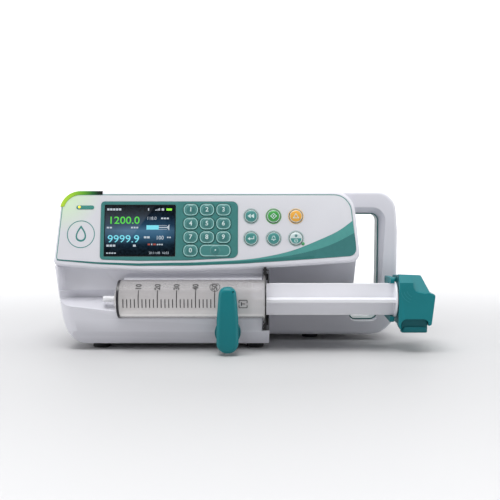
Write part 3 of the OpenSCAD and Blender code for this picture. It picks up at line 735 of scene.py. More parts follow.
# ---------------------------------------------------------------- surround, screen, keys
def build_surround():
    v, f = panel_plate(SURR, -0.8, 0.45, 0.35)
    m = TEAL_FRAME
    ob = make("surround", v, f, m, slot="teal_frame", replaces=["keypad_surround"])
    boolean(ob, cutter([panel_plate(inset(SCREEN, -0.1), -3, 3)]))
    holes = [pill_hole(x, z, 12.9, 10.8, 4.6, -3, 3) for x in (-42.8, -29.3, -15.6) for z in (116.5, 105.1, 93.9)]
    holes += [pill_hole(-42.8, 82.9, 12.9, 10.8, 4.6, -3, 3), pill_hole(-22.45, 82.9, 26.6, 10.8, 4.6, -3, 3)]
    boolean(ob, cutter(holes))
    bevel(ob, 0.25, 2, 40)
    # black mask with the picture area inside it
    v, f = panel_plate(SCREEN, -0.8, 0.12, 0.1)
    blk = Mat("screen_mask")
    blk.l(blk.ramp(blk.noise(90, 2), [(0.3, srgb(8, 10, 12)), (0.7, srgb(14, 16, 20))]), blk.b.inputs["Base Color"])
    blk.l(blk.span(blk.noise(30, 2), 0.2, 0.8, 0.06, 0.12), blk.b.inputs["Roughness"])
    blk.set(Coat_Weight=0.5, Coat_Roughness=0.05)
    make("screen_glass", v, f, blk.m, slot="screen", replaces=["display_lens"])
    # picture: dark top and bottom, blue glow across the middle
    m = Mat("screen_picture")
    s = m.n("ShaderNodeSeparateXYZ")
    m.l(m.co, s.inputs[0])
    g = m.ramp(m.span(s.outputs["Z"], 0.0790, 0.1200, 0, 1), [
        (0.0, srgb(2, 6, 10)), (0.10, srgb(4, 14, 24)), (0.22, srgb(14, 38, 56)), (0.40, srgb(66, 110, 144)),
        (0.50, srgb(84, 128, 162)), (0.62, srgb(38, 74, 104)), (0.80, srgb(10, 26, 44)), (0.90, srgb(4, 8, 14)), (1.0, srgb(2, 3, 5))])
    side = m.ramp(m.span(s.outputs["X"], -0.114, -0.056, 0, 1), [(0.0, (0.55, 0.55, 0.55)), (0.3, (1, 1, 1)), (0.8, (1, 1, 1)), (1.0, (0.6, 0.6, 0.6))])
    g = m.mix(1.0, g, side, "MULTIPLY")
    g = m.mix(m.span(m.noise(500, 1), 0.3, 0.7, 0.0, 0.06), g, srgb(110, 150, 180))
    # painted reflection: past a sharp diagonal line the upper left of the picture is a little paler, most in the middle
    # rows
    dot = m.n("ShaderNodeVectorMath", operation="DOT_PRODUCT")
    m.l(m.co, dot.inputs[0])
    dot.inputs[1].default_value = (0.80, 0.0, -0.60)
    edge = m.span(dot.outputs["Value"], -0.1306, -0.1294, 0.07, 0.0)
    fade = m.ramp(m.span(s.outputs["Z"], 0.079, 0.120, 0, 1), [(0.0, (0, 0, 0)), (0.2, (0.05, 0.05, 0.05)), (0.5, (0.9, 0.9, 0.9)), (0.75, (1, 1, 1)), (1.0, (0.15, 0.15, 0.15))])
    both = m.n("ShaderNodeMath", operation="MULTIPLY")
    m.l(edge, both.inputs[0])
    m.l(fade, both.inputs[1])
    g = m.mix(both.outputs[0], g, (0.75, 0.82, 0.9, 1))
    m.l(m.mix(0.93, g, (0, 0, 0, 1)), m.b.inputs["Base Color"])
    m.l(g, m.b.inputs["Emission Color"])
    m.set(Emission_Strength=0.62, Roughness=0.12, Specular_IOR_Level=0.10)
    v, f = panel_plate([(-114.0, 79.0, 0.4), (-56.2, 79.0, 0.4), (-56.2, 119.8, 0.4), (-114.0, 119.8, 0.4)], 0.13, 0.16)
    make("screen_picture", v, f, m.m, slot="screen")
    N = 0.20
    green = print_ink("lcd_green", srgb(74, 176, 62), 0.3, 0.04, 0.55)
    cyan = print_ink("lcd_cyan", srgb(104, 186, 200), 0.3, 0.04, 0.5)
    white = print_ink("lcd_white", srgb(176, 186, 194), 0.3, 0.04, 0.16)
    red = print_ink("lcd_red", srgb(150, 70, 58), 0.3, 0.04, 0.2)
    bat = print_ink("lcd_battery", srgb(126, 206, 56), 0.3, 0.04, 0.5)
    text_mesh("lcd_rate", "1200.0", 8.6, at_panel(-98.4, 107.6, N), green, slot="screen", thick=0.07, sx=1.13)
    text_mesh("lcd_total", "9999.9", 8.8, at_panel(-98.6, 92.3, N), cyan, slot="screen", thick=0.03, sx=1.12)
    text_mesh("lcd_dose", "118.0", 3.7, at_panel(-75.4, 109.4, N), white, slot="screen")
    text_mesh("lcd_size", "100", 4.4, at_panel(-68.4, 93.4, N), white, slot="screen", thick=0.05)
    text_mesh("lcd_clock", "20:11:08  16:03", 2.7, at_panel(-69.0, 81.0, N), white, slot="screen")
    # plain bars stand for the captions
    def bar(name, x0, x1, z0, z1, mat):
        v, f = flat_poly([(x0, z0), (x1, z0), (x1, z1), (x0, z1)], N)
        make(name, v, f, mat, slot="screen", clean=False)
    k = 0
    for (x0, z0, cnt, w_, h_, mt) in [(-112.6, 116.0, 5, 1.9, 1.7, white), (-112.6, 101.2, 2, 1.9, 1.3, white), (-92.4, 101.2, 3, 1.6, 1.3, white),
                                     (-112.6, 86.2, 3, 2.1, 1.7, white), (-90.6, 86.2, 1, 2.4, 1.7, white), (-81.6, 93.0, 2, 2.1, 1.7, white), (-62.4, 93.2, 2, 1.3, 1.2, white),
                                     (-78.4, 87.4, 1, 2.2, 1.3, red), (-75.4, 87.4, 1, 0.9, 1.3, white), (-73.8, 87.4, 1, 2.2, 1.3, red), (-70.8, 87.4, 3, 1.3, 1.1, white),
                                     (-67.6, 108.8, 3, 1.8, 1.3, white), (-112.6, 80.4, 4, 1.6, 1.0, white)]:
        for q in range(cnt):
            bar(f"lcd_tick_{k}", x0 + q * (w_ + 0.55), x0 + q * (w_ + 0.55) + w_, z0, z0 + h_, mt)
            k += 1
    bar("lcd_battery", -63.2, -58.6, 115.9, 117.7, bat)
    for q in range(4):
        bar(f"lcd_signal_{q}", -72.6 + q * 1.1, -71.9 + q * 1.1, 115.9, 116.6 + q * 0.45, white)
    bar("lcd_note", -78.6, -77.6, 115.9, 117.9, white)
    bar("lcd_lock", -67.2, -65.2, 115.9, 117.8, white)
    # syringe sign: cyan fill, white outline and plunger
    bar("lcd_syringe_fill", -79.6, -69.4, 100.2, 103.8, cyan)
    bar("lcd_syringe_rod", -69.4, -62.6, 101.6, 102.4, white)
    bar("lcd_syringe_top", -69.4, -62.6, 103.5, 103.8, white)
    bar("lcd_syringe_low", -69.4, -62.6, 100.2, 100.5, white)
    v, f = flat_poly([(-62.8, 102.0), (-60.6, 104.6), (-60.6, 99.4)], N)
    make("lcd_syringe_push", v, f, white, slot="screen", clean=False)


def key_material(name, base, light, deep):
    """Silicone cap with painted light: a painted highlight makes it lighter towards the rim and the top, and painted
    shade makes it deeper in the middle.
    """
    m = Mat(name)
    c = m.ramp(m.noise(160, 2), [(0.25, tone(base, 0.93)), (0.75, tone(base, 1.07))])
    geo = m.n("ShaderNodeNewGeometry")
    # painted highlight on the convex rims
    edge = m.span(geo.outputs["Pointiness"], 0.51, 0.58, 0, 0.55)
    c = m.mix(edge, c, light)
    # painted shade in the hollows (low pointiness)
    low = m.span(geo.outputs["Pointiness"], 0.42, 0.49, 0.5, 0)
    c = m.mix(low, c, deep)
    m.l(c, m.b.inputs["Base Color"])
    m.l(m.span(m.noise(220, 2), 0.2, 0.8, 0.28, 0.38), m.b.inputs["Roughness"])
    m.l(m.bump(m.noise(2200, 2), 0.00001, 0.5), m.b.inputs["Normal"])
    m.set(Coat_Weight=0.25, Coat_Roughness=0.2)
    return m.m


KEY = key_material("key_silicone", srgb(66, 128, 125), srgb(110, 165, 160), srgb(40, 92, 90))
# darker copy of the key silicone: painted shade on the raised middle of each cap
DOME_SHADED = key_material("dome_silicone_shaded", srgb(56, 116, 114), srgb(120, 170, 166), srgb(36, 84, 84))
RIM = print_ink("key_rim_ink", srgb(150, 196, 192), 0.3)
GLYPH = print_ink("key_glyph_ink", srgb(206, 226, 224), 0.3)


def dome_key(name, c2d, top, mat, body, slot, replaces, dish=0.55, n=6, rise=5):
    """A cap on the panel, from 2D corners in (across, along slope) about its centre."""
    cx, cz, corners = c2d
    def P(x, w, nn):
        return (cx + x, PY + (cz - PZ) * TT + w * ST - nn * CT, cz + w * CT + nn * ST)
    rings = [[P(x, w, -3.6) for x, w in rounded(corners, n)]]
    prof = [(0.0, top * 0.15), (0.04, top * 0.7), (0.16, top * 0.92), (0.4, top), (1.2, top)]
    for d, h in prof:
        rings.append([P(x, w, h) for x, w in rounded(inset(corners, d), n)])
    v, f = loft(rings)
    return make(name, v, f, mat, body=body, slot=slot, replaces=replaces, sharp=50), P


def dome(name, cx, cz, r, n0, rise, mat, body, seg=40, slot="key_teal"):
    """Round raised middle of a cap."""
    rings = []
    for q, h in [(1.0, -0.2), (1.0, 0.0), (0.97, 0.22), (0.88, 0.5), (0.72, 0.78), (0.5, 0.94), (0.25, 0.99), (0.02, 1.0)]:
        n = n0 + rise * h
        rings.append([(cx + r * q * math.cos(2 * math.pi * i / seg), PY + (cz - PZ) * TT + r * q * math.sin(2 * math.pi * i / seg) * ST - n * CT,
                       cz + r * q * math.sin(2 * math.pi * i / seg) * CT + n * ST) for i in range(seg)])
    v, f = loft(rings)
    return make(name, v, f, mat, body=body, slot=slot, sharp=50)


def pill(w, h, r):
    return [(-w / 2, -h / 2, r), (w / 2, -h / 2, r), (w / 2, h / 2, r), (-w / 2, h / 2, r)]


def ring_on_panel(name, cx, cz, shape, w, n, mat, body):
    o, i = rounded(shape, 6), rounded(inset(shape, w), 6)
    def P(x, s):
        return (cx + x, PY + (cz - PZ) * TT + s * ST - n * CT, cz + s * CT + n * ST)
    verts = [P(*p) for p in o + [o[0]]] + [P(*p) for p in i + [i[0]]]
    k = len(o) + 1
    return make(name, verts, [(a, a + 1, k + a + 1, k + a) for a in range(k - 1)], mat, body=body, slot="key_teal", clean=False)


def build_keys():
    kx, kz = [-42.8, -29.3, -15.6], [116.5, 105.1, 93.9, 82.9]
    places = {str(3 * r + c + 1): (kx[c], kz[r], 12.2) for r in range(3) for c in range(3)}
    places["0"] = (kx[0], kz[3], 12.2)
    places["dot"] = ((kx[1] + kx[2]) / 2, kz[3], kx[2] - kx[1] + 12.2)
    for k, (x, z, w) in places.items():
        body = "cap_" + k
        shape = pill(w, 10.1, 4.3)
        dome_key("cap_" + k, (x, z, shape), 1.0, KEY, body, "key_teal", ["key_" + k])
        ring_on_panel("rim_" + k, x, z, inset(shape, 0.3), 0.72, 1.03, RIM, body)
        dome("dome_" + k, x, z, 4.25, 0.96, 0.62, DOME_SHADED, body)
        if k == "dot":
            text_mesh("glyph_dot", ".", 9.0, at_panel(x + 0.3, z + 2.6, 1.66), GLYPH, body=body, slot="key_teal", thick=0.05)
        else:
            text_mesh("glyph_" + k, k, 5.4, at_panel(x, z, 1.64), GLYPH, body=body, slot="key_teal", thick=0.08)
    g = key_material("key_green_silicone", srgb(62, 152, 70), srgb(128, 196, 126), srgb(30, 96, 40))
    o_ = key_material("key_orange_silicone", srgb(226, 164, 62), srgb(242, 196, 112), srgb(168, 110, 34))
    t = key_material("key_round_teal", srgb(64, 134, 130), srgb(130, 182, 178), srgb(34, 90, 88))
    wpow = key_material("key_power_white", srgb(196, 212, 212), srgb(228, 236, 236), srgb(120, 150, 150))
    rounds = {"rewind": (7.4, 111.2, t, "key_teal"), "start": (26.1, 111.2, g, "key_green"), "stop": (44.7, 111.2, o_, "key_orange"),
              "enter": (7.4, 92.9, t, "key_teal"), "mute": (26.1, 92.9, t, "key_teal"), "power": (44.7, 92.9, wpow, "key_white")}
    ringm = print_ink("round_rim_ink", srgb(206, 222, 220), 0.3)
    linem = print_ink("round_line_ink", srgb(120, 166, 164), 0.3)
    for k, (x, z, m, sl) in rounds.items():
        c = [(5.6 * math.cos(math.radians(a)), 5.6 * math.sin(math.radians(a)), 2.2) for a in range(0, 360, 45)]
        dome_key("cap_" + k, (x, z, c), 0.9, m, "cap_" + k, sl, ["key_" + k])
        dome("dome_" + k, x, z, 4.9, 0.86, 0.7, m, "cap_" + k, slot=sl)
        # pale ring printed on the edge of the cap
        b6 = [(x + 5.3 * math.cos(2 * math.pi * i / 48), z + 5.3 * CT * math.sin(2 * math.pi * i / 48)) for i in range(49)]
        b5 = [(x + 4.88 * math.cos(2 * math.pi * i / 48), z + 4.88 * CT * math.sin(2 * math.pi * i / 48)) for i in range(49)]
        v, f = strip_between(b6, b5, 0.94)
        make("cap_ring_" + k, v, f, ringm, body="cap_" + k, slot=sl, clean=False)
        # printed ring round the button, on the panel
        a6 = [(x + 6.3 * math.cos(2 * math.pi * i / 48), z + 6.3 * CT * math.sin(2 * math.pi * i / 48)) for i in range(49)]
        a5 = [(x + 5.95 * math.cos(2 * math.pi * i / 48), z + 5.95 * CT * math.sin(2 * math.pi * i / 48)) for i in range(49)]
        v, f = strip_between(a6, a5, 0.13)
        col = {"start": print_ink("ring_green", srgb(109, 181, 108), 0.3), "stop": print_ink("ring_orange", srgb(238, 206, 150), 0.3)}.get(k, ringm)
        make("ring_" + k, v, f, col, slot="overlay_grey", clean=False)
        a7 = [(x + 6.58 * math.cos(2 * math.pi * i / 48), z + 6.58 * CT * math.sin(2 * math.pi * i / 48)) for i in range(49)]
        v, f = strip_between(a7, a6, 0.13)
        make("ring_line_" + k, v, f, linem if k not in ("start", "stop") else col, slot="overlay_grey", clean=False)
    sign = GLYPH
    def poly(name, x, z, pts, body, n=1.62, mat=sign):
        make(name, [at_panel(x, z, n)(px, py) for px, py in pts], [tuple(range(len(pts)))], mat, body=body, slot="key_teal", clean=False)
    poly("sign_rewind_a", 7.4, 111.2, [(-3.0, 0), (-0.3, 1.9), (-0.3, -1.9)], "cap_rewind")
    poly("sign_rewind_b", 7.4, 111.2, [(-0.2, 0), (2.5, 1.9), (2.5, -1.9)], "cap_rewind")
    def outline(name, x, z, pts, t_, body, mat=sign, n=1.62):
        """A closed line of the given thickness round a polygon."""
        cx_ = sum(p[0] for p in pts) / len(pts)
        cy_ = sum(p[1] for p in pts) / len(pts)
        inn = [(cx_ + (px - cx_) * (1 - t_), cy_ + (py - cy_) * (1 - t_)) for px, py in pts]
        P = at_panel(x, z, n)
        verts = [P(*p) for p in pts + [pts[0]]] + [P(*p) for p in inn + [inn[0]]]
        k_ = len(pts) + 1
        make(name, verts, [(a, a + 1, k_ + a + 1, k_ + a) for a in range(k_ - 1)], mat, body=body, slot="key_teal", clean=False)
    outline("sign_start", 26.1, 111.2, [(-2.9, 0), (0, 2.5), (2.9, 0), (0, -2.5)], 0.28, "cap_start")
    poly("sign_start_in", 26.1, 111.2, [(-0.8, 0), (0, 0.7), (0.8, 0), (0, -0.7)], "cap_start")
    outline("sign_stop", 44.7, 111.2, [(-2.7, -1.9), (0, 2.6), (2.7, -1.9)], 0.34, "cap_stop")
    poly("sign_enter_a", 7.4, 92.9, [(-2.9, -0.4), (-0.9, 1.0), (-0.9, -1.8)], "cap_enter")
    poly("sign_enter_b", 7.4, 92.9, [(-1.0, -0.1), (2.6, -0.1), (2.6, -0.75), (-1.0, -0.75)], "cap_enter")
    poly("sign_enter_c", 7.4, 92.9, [(1.95, -0.2), (2.6, -0.2), (2.6, 1.9), (1.95, 1.9)], "cap_enter")
    bell = [(-2.1, -1.2), (-1.4, -0.4), (-1.3, 1.0), (-0.5, 2.0), (0.5, 2.0), (1.3, 1.0), (1.4, -0.4), (2.1, -1.2)]
    outline("sign_mute", 26.1, 92.9, bell, 0.30, "cap_mute")
    poly("sign_mute_b", 26.1, 92.9, [(-0.6, -1.5), (0.6, -1.5), (0.4, -2.1), (-0.4, -2.1)], "cap_mute")
    # power key: the lower half is teal; a small sun sign above, a power sign below
    half = [(-4.4 * math.cos(math.radians(a)), -4.4 * math.sin(math.radians(a))) for a in range(0, 181, 12)]
    poly("sign_power_half", 44.7, 92.9, half, "cap_power", 1.60, print_ink("power_half_teal", srgb(70, 140, 136), 0.3))
    arc = [(1.5 * math.sin(math.radians(a)), -2.1 + 1.5 * math.cos(math.radians(a))) for a in range(35, 326, 15)]
    arc2 = [(1.0 * math.sin(math.radians(a)), -2.1 + 1.0 * math.cos(math.radians(a))) for a in range(35, 326, 15)]
    P = at_panel(44.7, 92.9, 1.66)
    k_ = len(arc)
    make("sign_power_arc", [P(*p) for p in arc + arc2], [(a, a + 1, k_ + a + 1, k_ + a) for a in range(k_ - 1)], sign, body="cap_power", slot="key_teal", clean=False)
    poly("sign_power_bar", 44.7, 92.9, [(-0.25, -2.0), (0.25, -2.0), (0.25, -0.3), (-0.25, -0.3)], "cap_power", 1.66, sign)
    dark = print_ink("power_sign_ink", srgb(80, 130, 128), 0.3)
    sun = []
    for i in range(16):
        rr = 1.5 if i % 2 == 0 else 0.8
        sun.append((rr * math.sin(math.radians(22.5 * i)), 2.1 + rr * math.cos(math.radians(22.5 * i))))
    poly("sign_power_sun", 44.7, 92.9, sun, "cap_power", 1.66, dark)


def build_lights():
    # status pill with its yellow lamp, and the small green lamp
    v, f = panel_plate([(-138.4, 116.9, 1.6), (-123.6, 116.9, 1.6), (-123.6, 120.2, 1.6), (-138.4, 120.2, 1.6)], 0.05, 0.30, 0.12)
    make("status_pill", v, f, print_ink("pill_teal", srgb(70, 140, 130), 0.25), slot="teal_frame")
    lamps = {"lamp_charge": (-135.9, 118.8, 1.15, srgb(228, 210, 70), 0.6), "lamp_mains": (50.5, 88.6, 1.35, srgb(74, 150, 96), 0.05)}
    first = True
    for nm, (x, z, r, c, e) in lamps.items():
        rings = []
        for d, h in [(0, -1.0), (0, 0.30), (0.15, 0.48), (0.45, 0.62), (0.8, 0.70)]:
            rings.append([on_panel(x + (r - d) * math.cos(2 * math.pi * i / 32), z + (r - d) * CT * math.sin(2 * math.pi * i / 32), h) for i in range(32)])
        v, f = loft(rings)
        make(nm, v, f, print_ink(nm + "_lens", c, 0.15, 0.05, e), slot="led", replaces=["indicator_lights"] if first else ())
        first = False
    # generic mark on the left: a plain drop outline inside a ring
    def ring(name, cx, cz, r0, r1, mat, n=0.1, a0=0, a1=360, st=7.5):
        k = int((a1 - a0) / st) + 1
        o = [(cx + r0 * math.sin(math.radians(a0 + st * i)), cz + r0 * CT * math.cos(math.radians(a0 + st * i))) for i in range(k)]
        q = [(cx + r1 * math.sin(math.radians(a0 + st * i)), cz + r1 * CT * math.cos(math.radians(a0 + st * i))) for i in range(k)]
        v, f = strip_between(o, q, n)
        make(name, v, f, mat, slot="overlay_grey", clean=False)
    thin = print_ink("mark_ring_ink", srgb(70, 140, 136), 0.35)
    grn = print_ink("mark_drop_ink", srgb(60, 132, 128), 0.35)
    cx, cz = -134.0, 96.4
    drop = []
    for i in range(41):
        a = math.radians(360 * i / 40)
        r = 5.0
        x = r * math.sin(a) * (0.5 - 0.5 * math.cos(a)) ** 0.55 * 1.15
        y = r * math.cos(a) * 1.35
        drop.append((cx + x, cz + 0.6 + y))
    small = [(cx + (x - cx) * 0.72, cz - 0.2 + (z - cz) * 0.72) for x, z in drop]
    v, f = strip_between(drop, small, 0.1)
    make("mark_drop", v, f, grn, slot="overlay_grey", clean=False)
    ring("mark_ring", cx, cz, 11.6, 10.9, thin)


build_surround()
build_keys()
build_lights()

# ---------------------------------------------------------------- lower body
DECK = [(-156.5, 74, 0.4), (-156.5, 69, 4), (-154, 49, 10), (-150.5, 27, 12), (-144.5, 5, 20), (22.5, 5, 0.5), (22.5, 74, 0.5)]
HEAD_ROOM = [(-170, 120), (-170, 71), (-156.9, 70.2), (-117, 67.25), (-78.5, 65.72), (-41, 65.8), (-3.5, 67.0), (47, 69.9), (98.4, 73.4), (120, 73.4), (120, 120)]
HOLE_BACK = [(95.4, 14.5, 6), (123.5, 14.5, 9), (123.5, 113, 8), (94.6, 113, 4), (99.2, 72, 4)]
CLAMP_X, CLAMP_Z = -11.6, 17.5


def cyl_x(cy, cz, r, x0, x1, seg=96):
    return lathe_x([(r, x0), (r, x1)], cy, cz, seg, closed=False)


def cyl_y(cx, cz, r, y0, y1, seg=48):
    return lathe_y([(r, y0), (r, y1)], cx, cz, seg)


def cube(a, b):
    return prism_z([(a[0], a[1]), (b[0], a[1]), (b[0], b[1]), (a[0], b[1])], a[2], b[2])


def build_deck():
    rings, R = [], 11.0
    base = rounded(DECK, 10)
    def ring(y, q):
        d = R - math.sqrt(max(R * R - (R - q) ** 2, 0)) if q < R else 0.0
        e = 1.0 - math.sqrt(max(1.0 - (1.0 - q) ** 2, 0)) if q < 1.0 else 0.0
        out = []
        for x, z in base:
            w = max(0.0, min(1.0, (-118.0 - x) / 24.0))
            w = w * w * (3 - 2 * w)
            out.append((x + (d + 0.2) * w - (e * 0.8 if x > 20 else 0), y, z))
        return out
    for q in (0, 0.25, 0.6, 1.2, 2.0, 3.0, 4.2, 5.6, 7.2, 9.0, 11.0):
        rings.append(ring(-47 + q, q))
    rings.append(ring(0.5, 20))
    v, f = loft(rings)
    ob = make("deck_shell", v, f, SHELL, slot="shell_white", replaces=["syringe_deck"])
    boolean(ob, cutter([prism_y(HEAD_ROOM, -70, 6)]))
    boolean(ob, cutter([prism_x([(-60, 16), (-47.0, 16), (-39, 5), (-37, 2), (-60, 2)], -170, 40)]))
    # cradle of the barrel, the straight part behind it, the ledge and its notch
    boolean(ob, cutter([lathe_x([(0.01, -108.0), (3.2, -108.0), (5.2, -106.4), (9.6, -104.7), (13.6, -103.0), (16.0, -102.4), (16.0, 18.5)], AX_Y, AX_Z, 128, closed=False)]))
    boolean(ob, cutter([prism_x([(-60, 43), (-42.6, 43), (-42.6, 58.7), (-36.2, 62.2), (-35.0, 63.4), (-35.0, 90), (-60, 90)], -98.2, 18.5)]))
    boolean(ob, cutter([prism_z([(-104.7, -60), (-97.9, -60), (-98.1, -40), (-96.0, -35), (-104.7, -35)], 43, 90)]))
    # wall that rolls under to a groove, then the slope that falls to the front
    def left(x, crest, k=1.0):
        pts = [(-60, crest), (-47.2, crest), (-44.5, crest + 0.9), (-31.5, 42.4), (-30.4, 43.3), (-30.5, 44.4), (-31.3, 46), (-32.6, 47.5), (-34.3, 49), (-35.2, 50.3), (-60, 48.4)]
        return [(x, -47.2 + (y + 47.2) * k if y > -47.2 else y, z) for y, z in pts]
    boolean(ob, cutter([loft([left(-175, 39.0, 0.05), left(-155, 38.6, 0.10), left(-150.5, 38.2, 0.42), left(-145.5, 37.6, 0.86), left(-140, 37.0), left(-104.4, 32.7)])]))
    boolean(ob, cutter([prism_z([(-153.4, -48.6), (-150.6, -37.9), (-149.4, -36.2), (-147.6, -35.2), (-104.4, -35.0), (-104.4, -52), (-153.4, -52)], 49.4, 90)]))
    # seat of the flange, bush, drive tube and the room inside
    boolean(ob, cutter([cube((16.5, -60, 17), (30, -23.2, 90))]))
    boolean(ob, cutter([cyl_y(CLAMP_X, CLAMP_Z, 8, -60, -40)]))
    boolean(ob, cutter([cube((-102.5, -25.5, 8), (15, 2, 63))]))
    boolean(ob, cutter([cube((-146, -11.5, 22), (-102, 2, 63))]))
    boolean(ob, cutter([cube((CLAMP_X - 9, -41, 8.5), (CLAMP_X + 9, -20, 25))]))
    boolean(ob, cutter([cyl_x(-16, 43, 7.4, 10, 40)]))
    bevel(ob, 0.7, 3, 38)
    return ob


def hole_solid(outline, cover, front, back, n=10):
    """Cutter for the hand hole: grown by front[i] = (y, growth) near its ends."""
    rings = []
    for k_, (y, g) in enumerate(front + back):
        a, b, c = rounded(inset(outline, -g), n), rounded(inset(outline, -g * 0.12), n), rounded(inset(outline, 1.15), n)
        ring = []
        for (x, z), (u, v), (p, q) in zip(a, b, c):
            k = min(max((z - 22) / 30, 0), 1)
            if x > 108:
                ring.append((u + (x - u) * k, y, v + (z - v) * k))
            elif k_ < len(front):
                t = min(max((z - 20) / 12, 0), 1) * min(max((104 - x) / 6, 0), 1) * cover
                ring.append((u + (p - u) * t, y, v + (q - v) * t if z < 100 else v + (z - v) * k))
            else:
                ring.append((u, y, v))
        rings.append(ring)
    return loft(rings)


def build_frames():
    v, f = soft_slab(MID, 1.0, 23.0, 3.0, 0.35, 10, 6)
    ob = make("front_shell", v, f, SHELL, slot="shell_white", replaces=["front_frame"])
    HF = [(94.5, 17.6, 5), (120.5, 17.6, 7), (120.5, 113, 7), (94.6, 113, 4), (99.2, 72, 4)]
    boolean(ob, cutter([hole_solid(HF, 1.0, [(0.0, 5.6), (1.0, 5.2), (2.2, 3.9), (4.6, 1.6), (6.2, 0.5), (7.9, 0.0)], [(7.96, 0.0), (22.7, 0.0), (24.0, 0.5)])]))
    # a cavity, and the openings to the deck and the panel
    v, f = soft_slab(inset(REAR2, 2.5), 3.6, 30, 0, 0, 8)
    boolean(ob, cutter([(v, f)]))
    boolean(ob, cutter([cube((-140, -5, 10), (17.5, 8, 62)), cube((-90, -5, 80), (50, 8, 110))]))
    smooth(ob, 34)
    v, f = soft_slab(MID, 23.12, 45, 0.35, 4.0, 10, 6)
    ob = make("rear_shell", v, f, SHELL_LOW, slot="shell_white", replaces=["rear_housing"])
    v, f = soft_slab(inset(REAR2, 0.04), 23.14, 71, 0.35, 4.5, 10, 6)
    boolean(ob, cutter([(v, f)]), "UNION")
    boolean(ob, cutter([hole_solid(HOLE_BACK, 0.0, [(22.0, -0.4), (24.0, -0.2), (32.0, 0.0), (40.0, 0.6), (43.0, 1.6), (44.6, 2.8), (46.0, 4.4)], [(60, 4.6)])]))
    v, f = soft_slab(inset(REAR2, 2.5), 20, 68.5, 0, 0, 8)
    boolean(ob, cutter([(v, f)]))
    boolean(ob, cutter([cube((-110, 30, 0), (-30, 68.5, 8))]))
    cuts = [cube((46, 60, 24), (73, 80, 44))]
    for x in (-50, 10):
        for z in (70, 110):
            cuts.append(cyl_y(x, z, 4.5, 60, 80))
    for x, z in SCREWS:
        cuts.append(lathe_y([(1.7, 55), (1.7, 69.8), (3.2, 69.81), (3.2, 80)], x, z, 32))
    for i in range(8):
        cuts.append(loft([[(x, y, z) for x, z in rounded([(-112 + i * 5, 86, 1.15), (-109.6 + i * 5, 86, 1.15), (-109.6 + i * 5, 106, 1.15), (-112 + i * 5, 106, 1.15)], 5)] for y in (60, 80)]))
    boolean(ob, cutter(cuts))
    bevel(ob, 0.3, 2, 40)


SCREWS = [(-136, 22), (-136, 116), (-20, 14), (-20, 124), (84, 14), (84, 122)]
REAR2 = [(-150, 5, 18), (95.5, 5, 6), (100.2, 72, 4), (92, 132, 8), (-148, 132, 17)]


def arc_strip(name, items, r, mat, body, slot):
    """Printed marks round the barrel: (x0, x1, a0, a1) with angles in degrees above the front."""
    verts, faces = [], []
    for x0, x1, a0, a1 in items:
        n = max(2, int(abs(a1 - a0) / 2.5))
        k = len(verts)
        for i in range(n + 1):
            a = math.radians(a0 + (a1 - a0) * i / n)
            for x in (x0, x1):
                verts.append((x, AX_Y - r * math.cos(a), AX_Z + r * math.sin(a)))
        faces += [(k + 2 * i, k + 2 * i + 1, k + 2 * i + 3, k + 2 * i + 2) for i in range(n)]
    return make(name, verts, faces, mat, body=body, slot=slot, clean=False)


def on_barrel(cx, a_mid, r, turn):
    """Lays text on the barrel, turned by a quarter so that it reads round the barrel."""
    def f(x, y):
        if turn:
            x, y = -y, x
        a = math.radians(a_mid) + y / r
        return (cx + x, AX_Y - r * math.cos(a), AX_Z + r * math.sin(a))
    return f


def clear_plastic():
    m = Mat("barrel_clear_pp")
    q = m.n("ShaderNodeSeparateXYZ")
    m.l(m.co, q.inputs[0])
    # painted shade and highlight: the colour is darker at the bottom edge and towards the top, with a painted highlight
    # band low down near Z 30 mm
    g = m.ramp(m.span(q.outputs["Z"], 0.0274, 0.0586, 0, 1), [
        (0.0, srgb(168, 166, 168)), (0.05, srgb(205, 203, 203)), (0.085, srgb(252, 250, 248)), (0.13, srgb(246, 244, 242)), (0.16, srgb(228, 225, 224)),
        (0.36, srgb(226, 223, 222)), (0.52, srgb(206, 203, 203)), (0.75, srgb(180, 177, 178)), (1.0, srgb(166, 163, 165))])
    m.l(m.mix(m.span(m.noise(30, 2), 0.3, 0.7, 0.0, 0.05), g, srgb(214, 212, 213)), m.b.inputs["Base Color"])
    # painted light: the barrel glows though it is no lamp, most in the same low band
    e = m.ramp(m.span(q.outputs["Z"], 0.0274, 0.0586, 0, 1), [
        (0.0, (0.25, 0.25, 0.25)), (0.07, (0.4, 0.4, 0.4)), (0.10, (1.0, 0.98, 0.96)), (0.125, (0.95, 0.93, 0.91)), (0.17, (0.42, 0.41, 0.41)), (0.5, (0.38, 0.37, 0.37)), (1.0, (0.3, 0.3, 0.3))])
    m.l(e, m.b.inputs["Emission Color"])
    m.l(m.span(m.noise(70, 2), 0.2, 0.8, 0.22, 0.30), m.b.inputs["Roughness"])
    m.l(m.bump(m.noise(90, 2), 0.00002, 0.3), m.b.inputs["Normal"])
    m.set(Alpha=0.44, IOR=1.49, Specular_IOR_Level=0.14, Coat_Weight=0.04, Coat_Roughness=0.2)
    m.set(Emission_Strength=0.24)
    return m.m


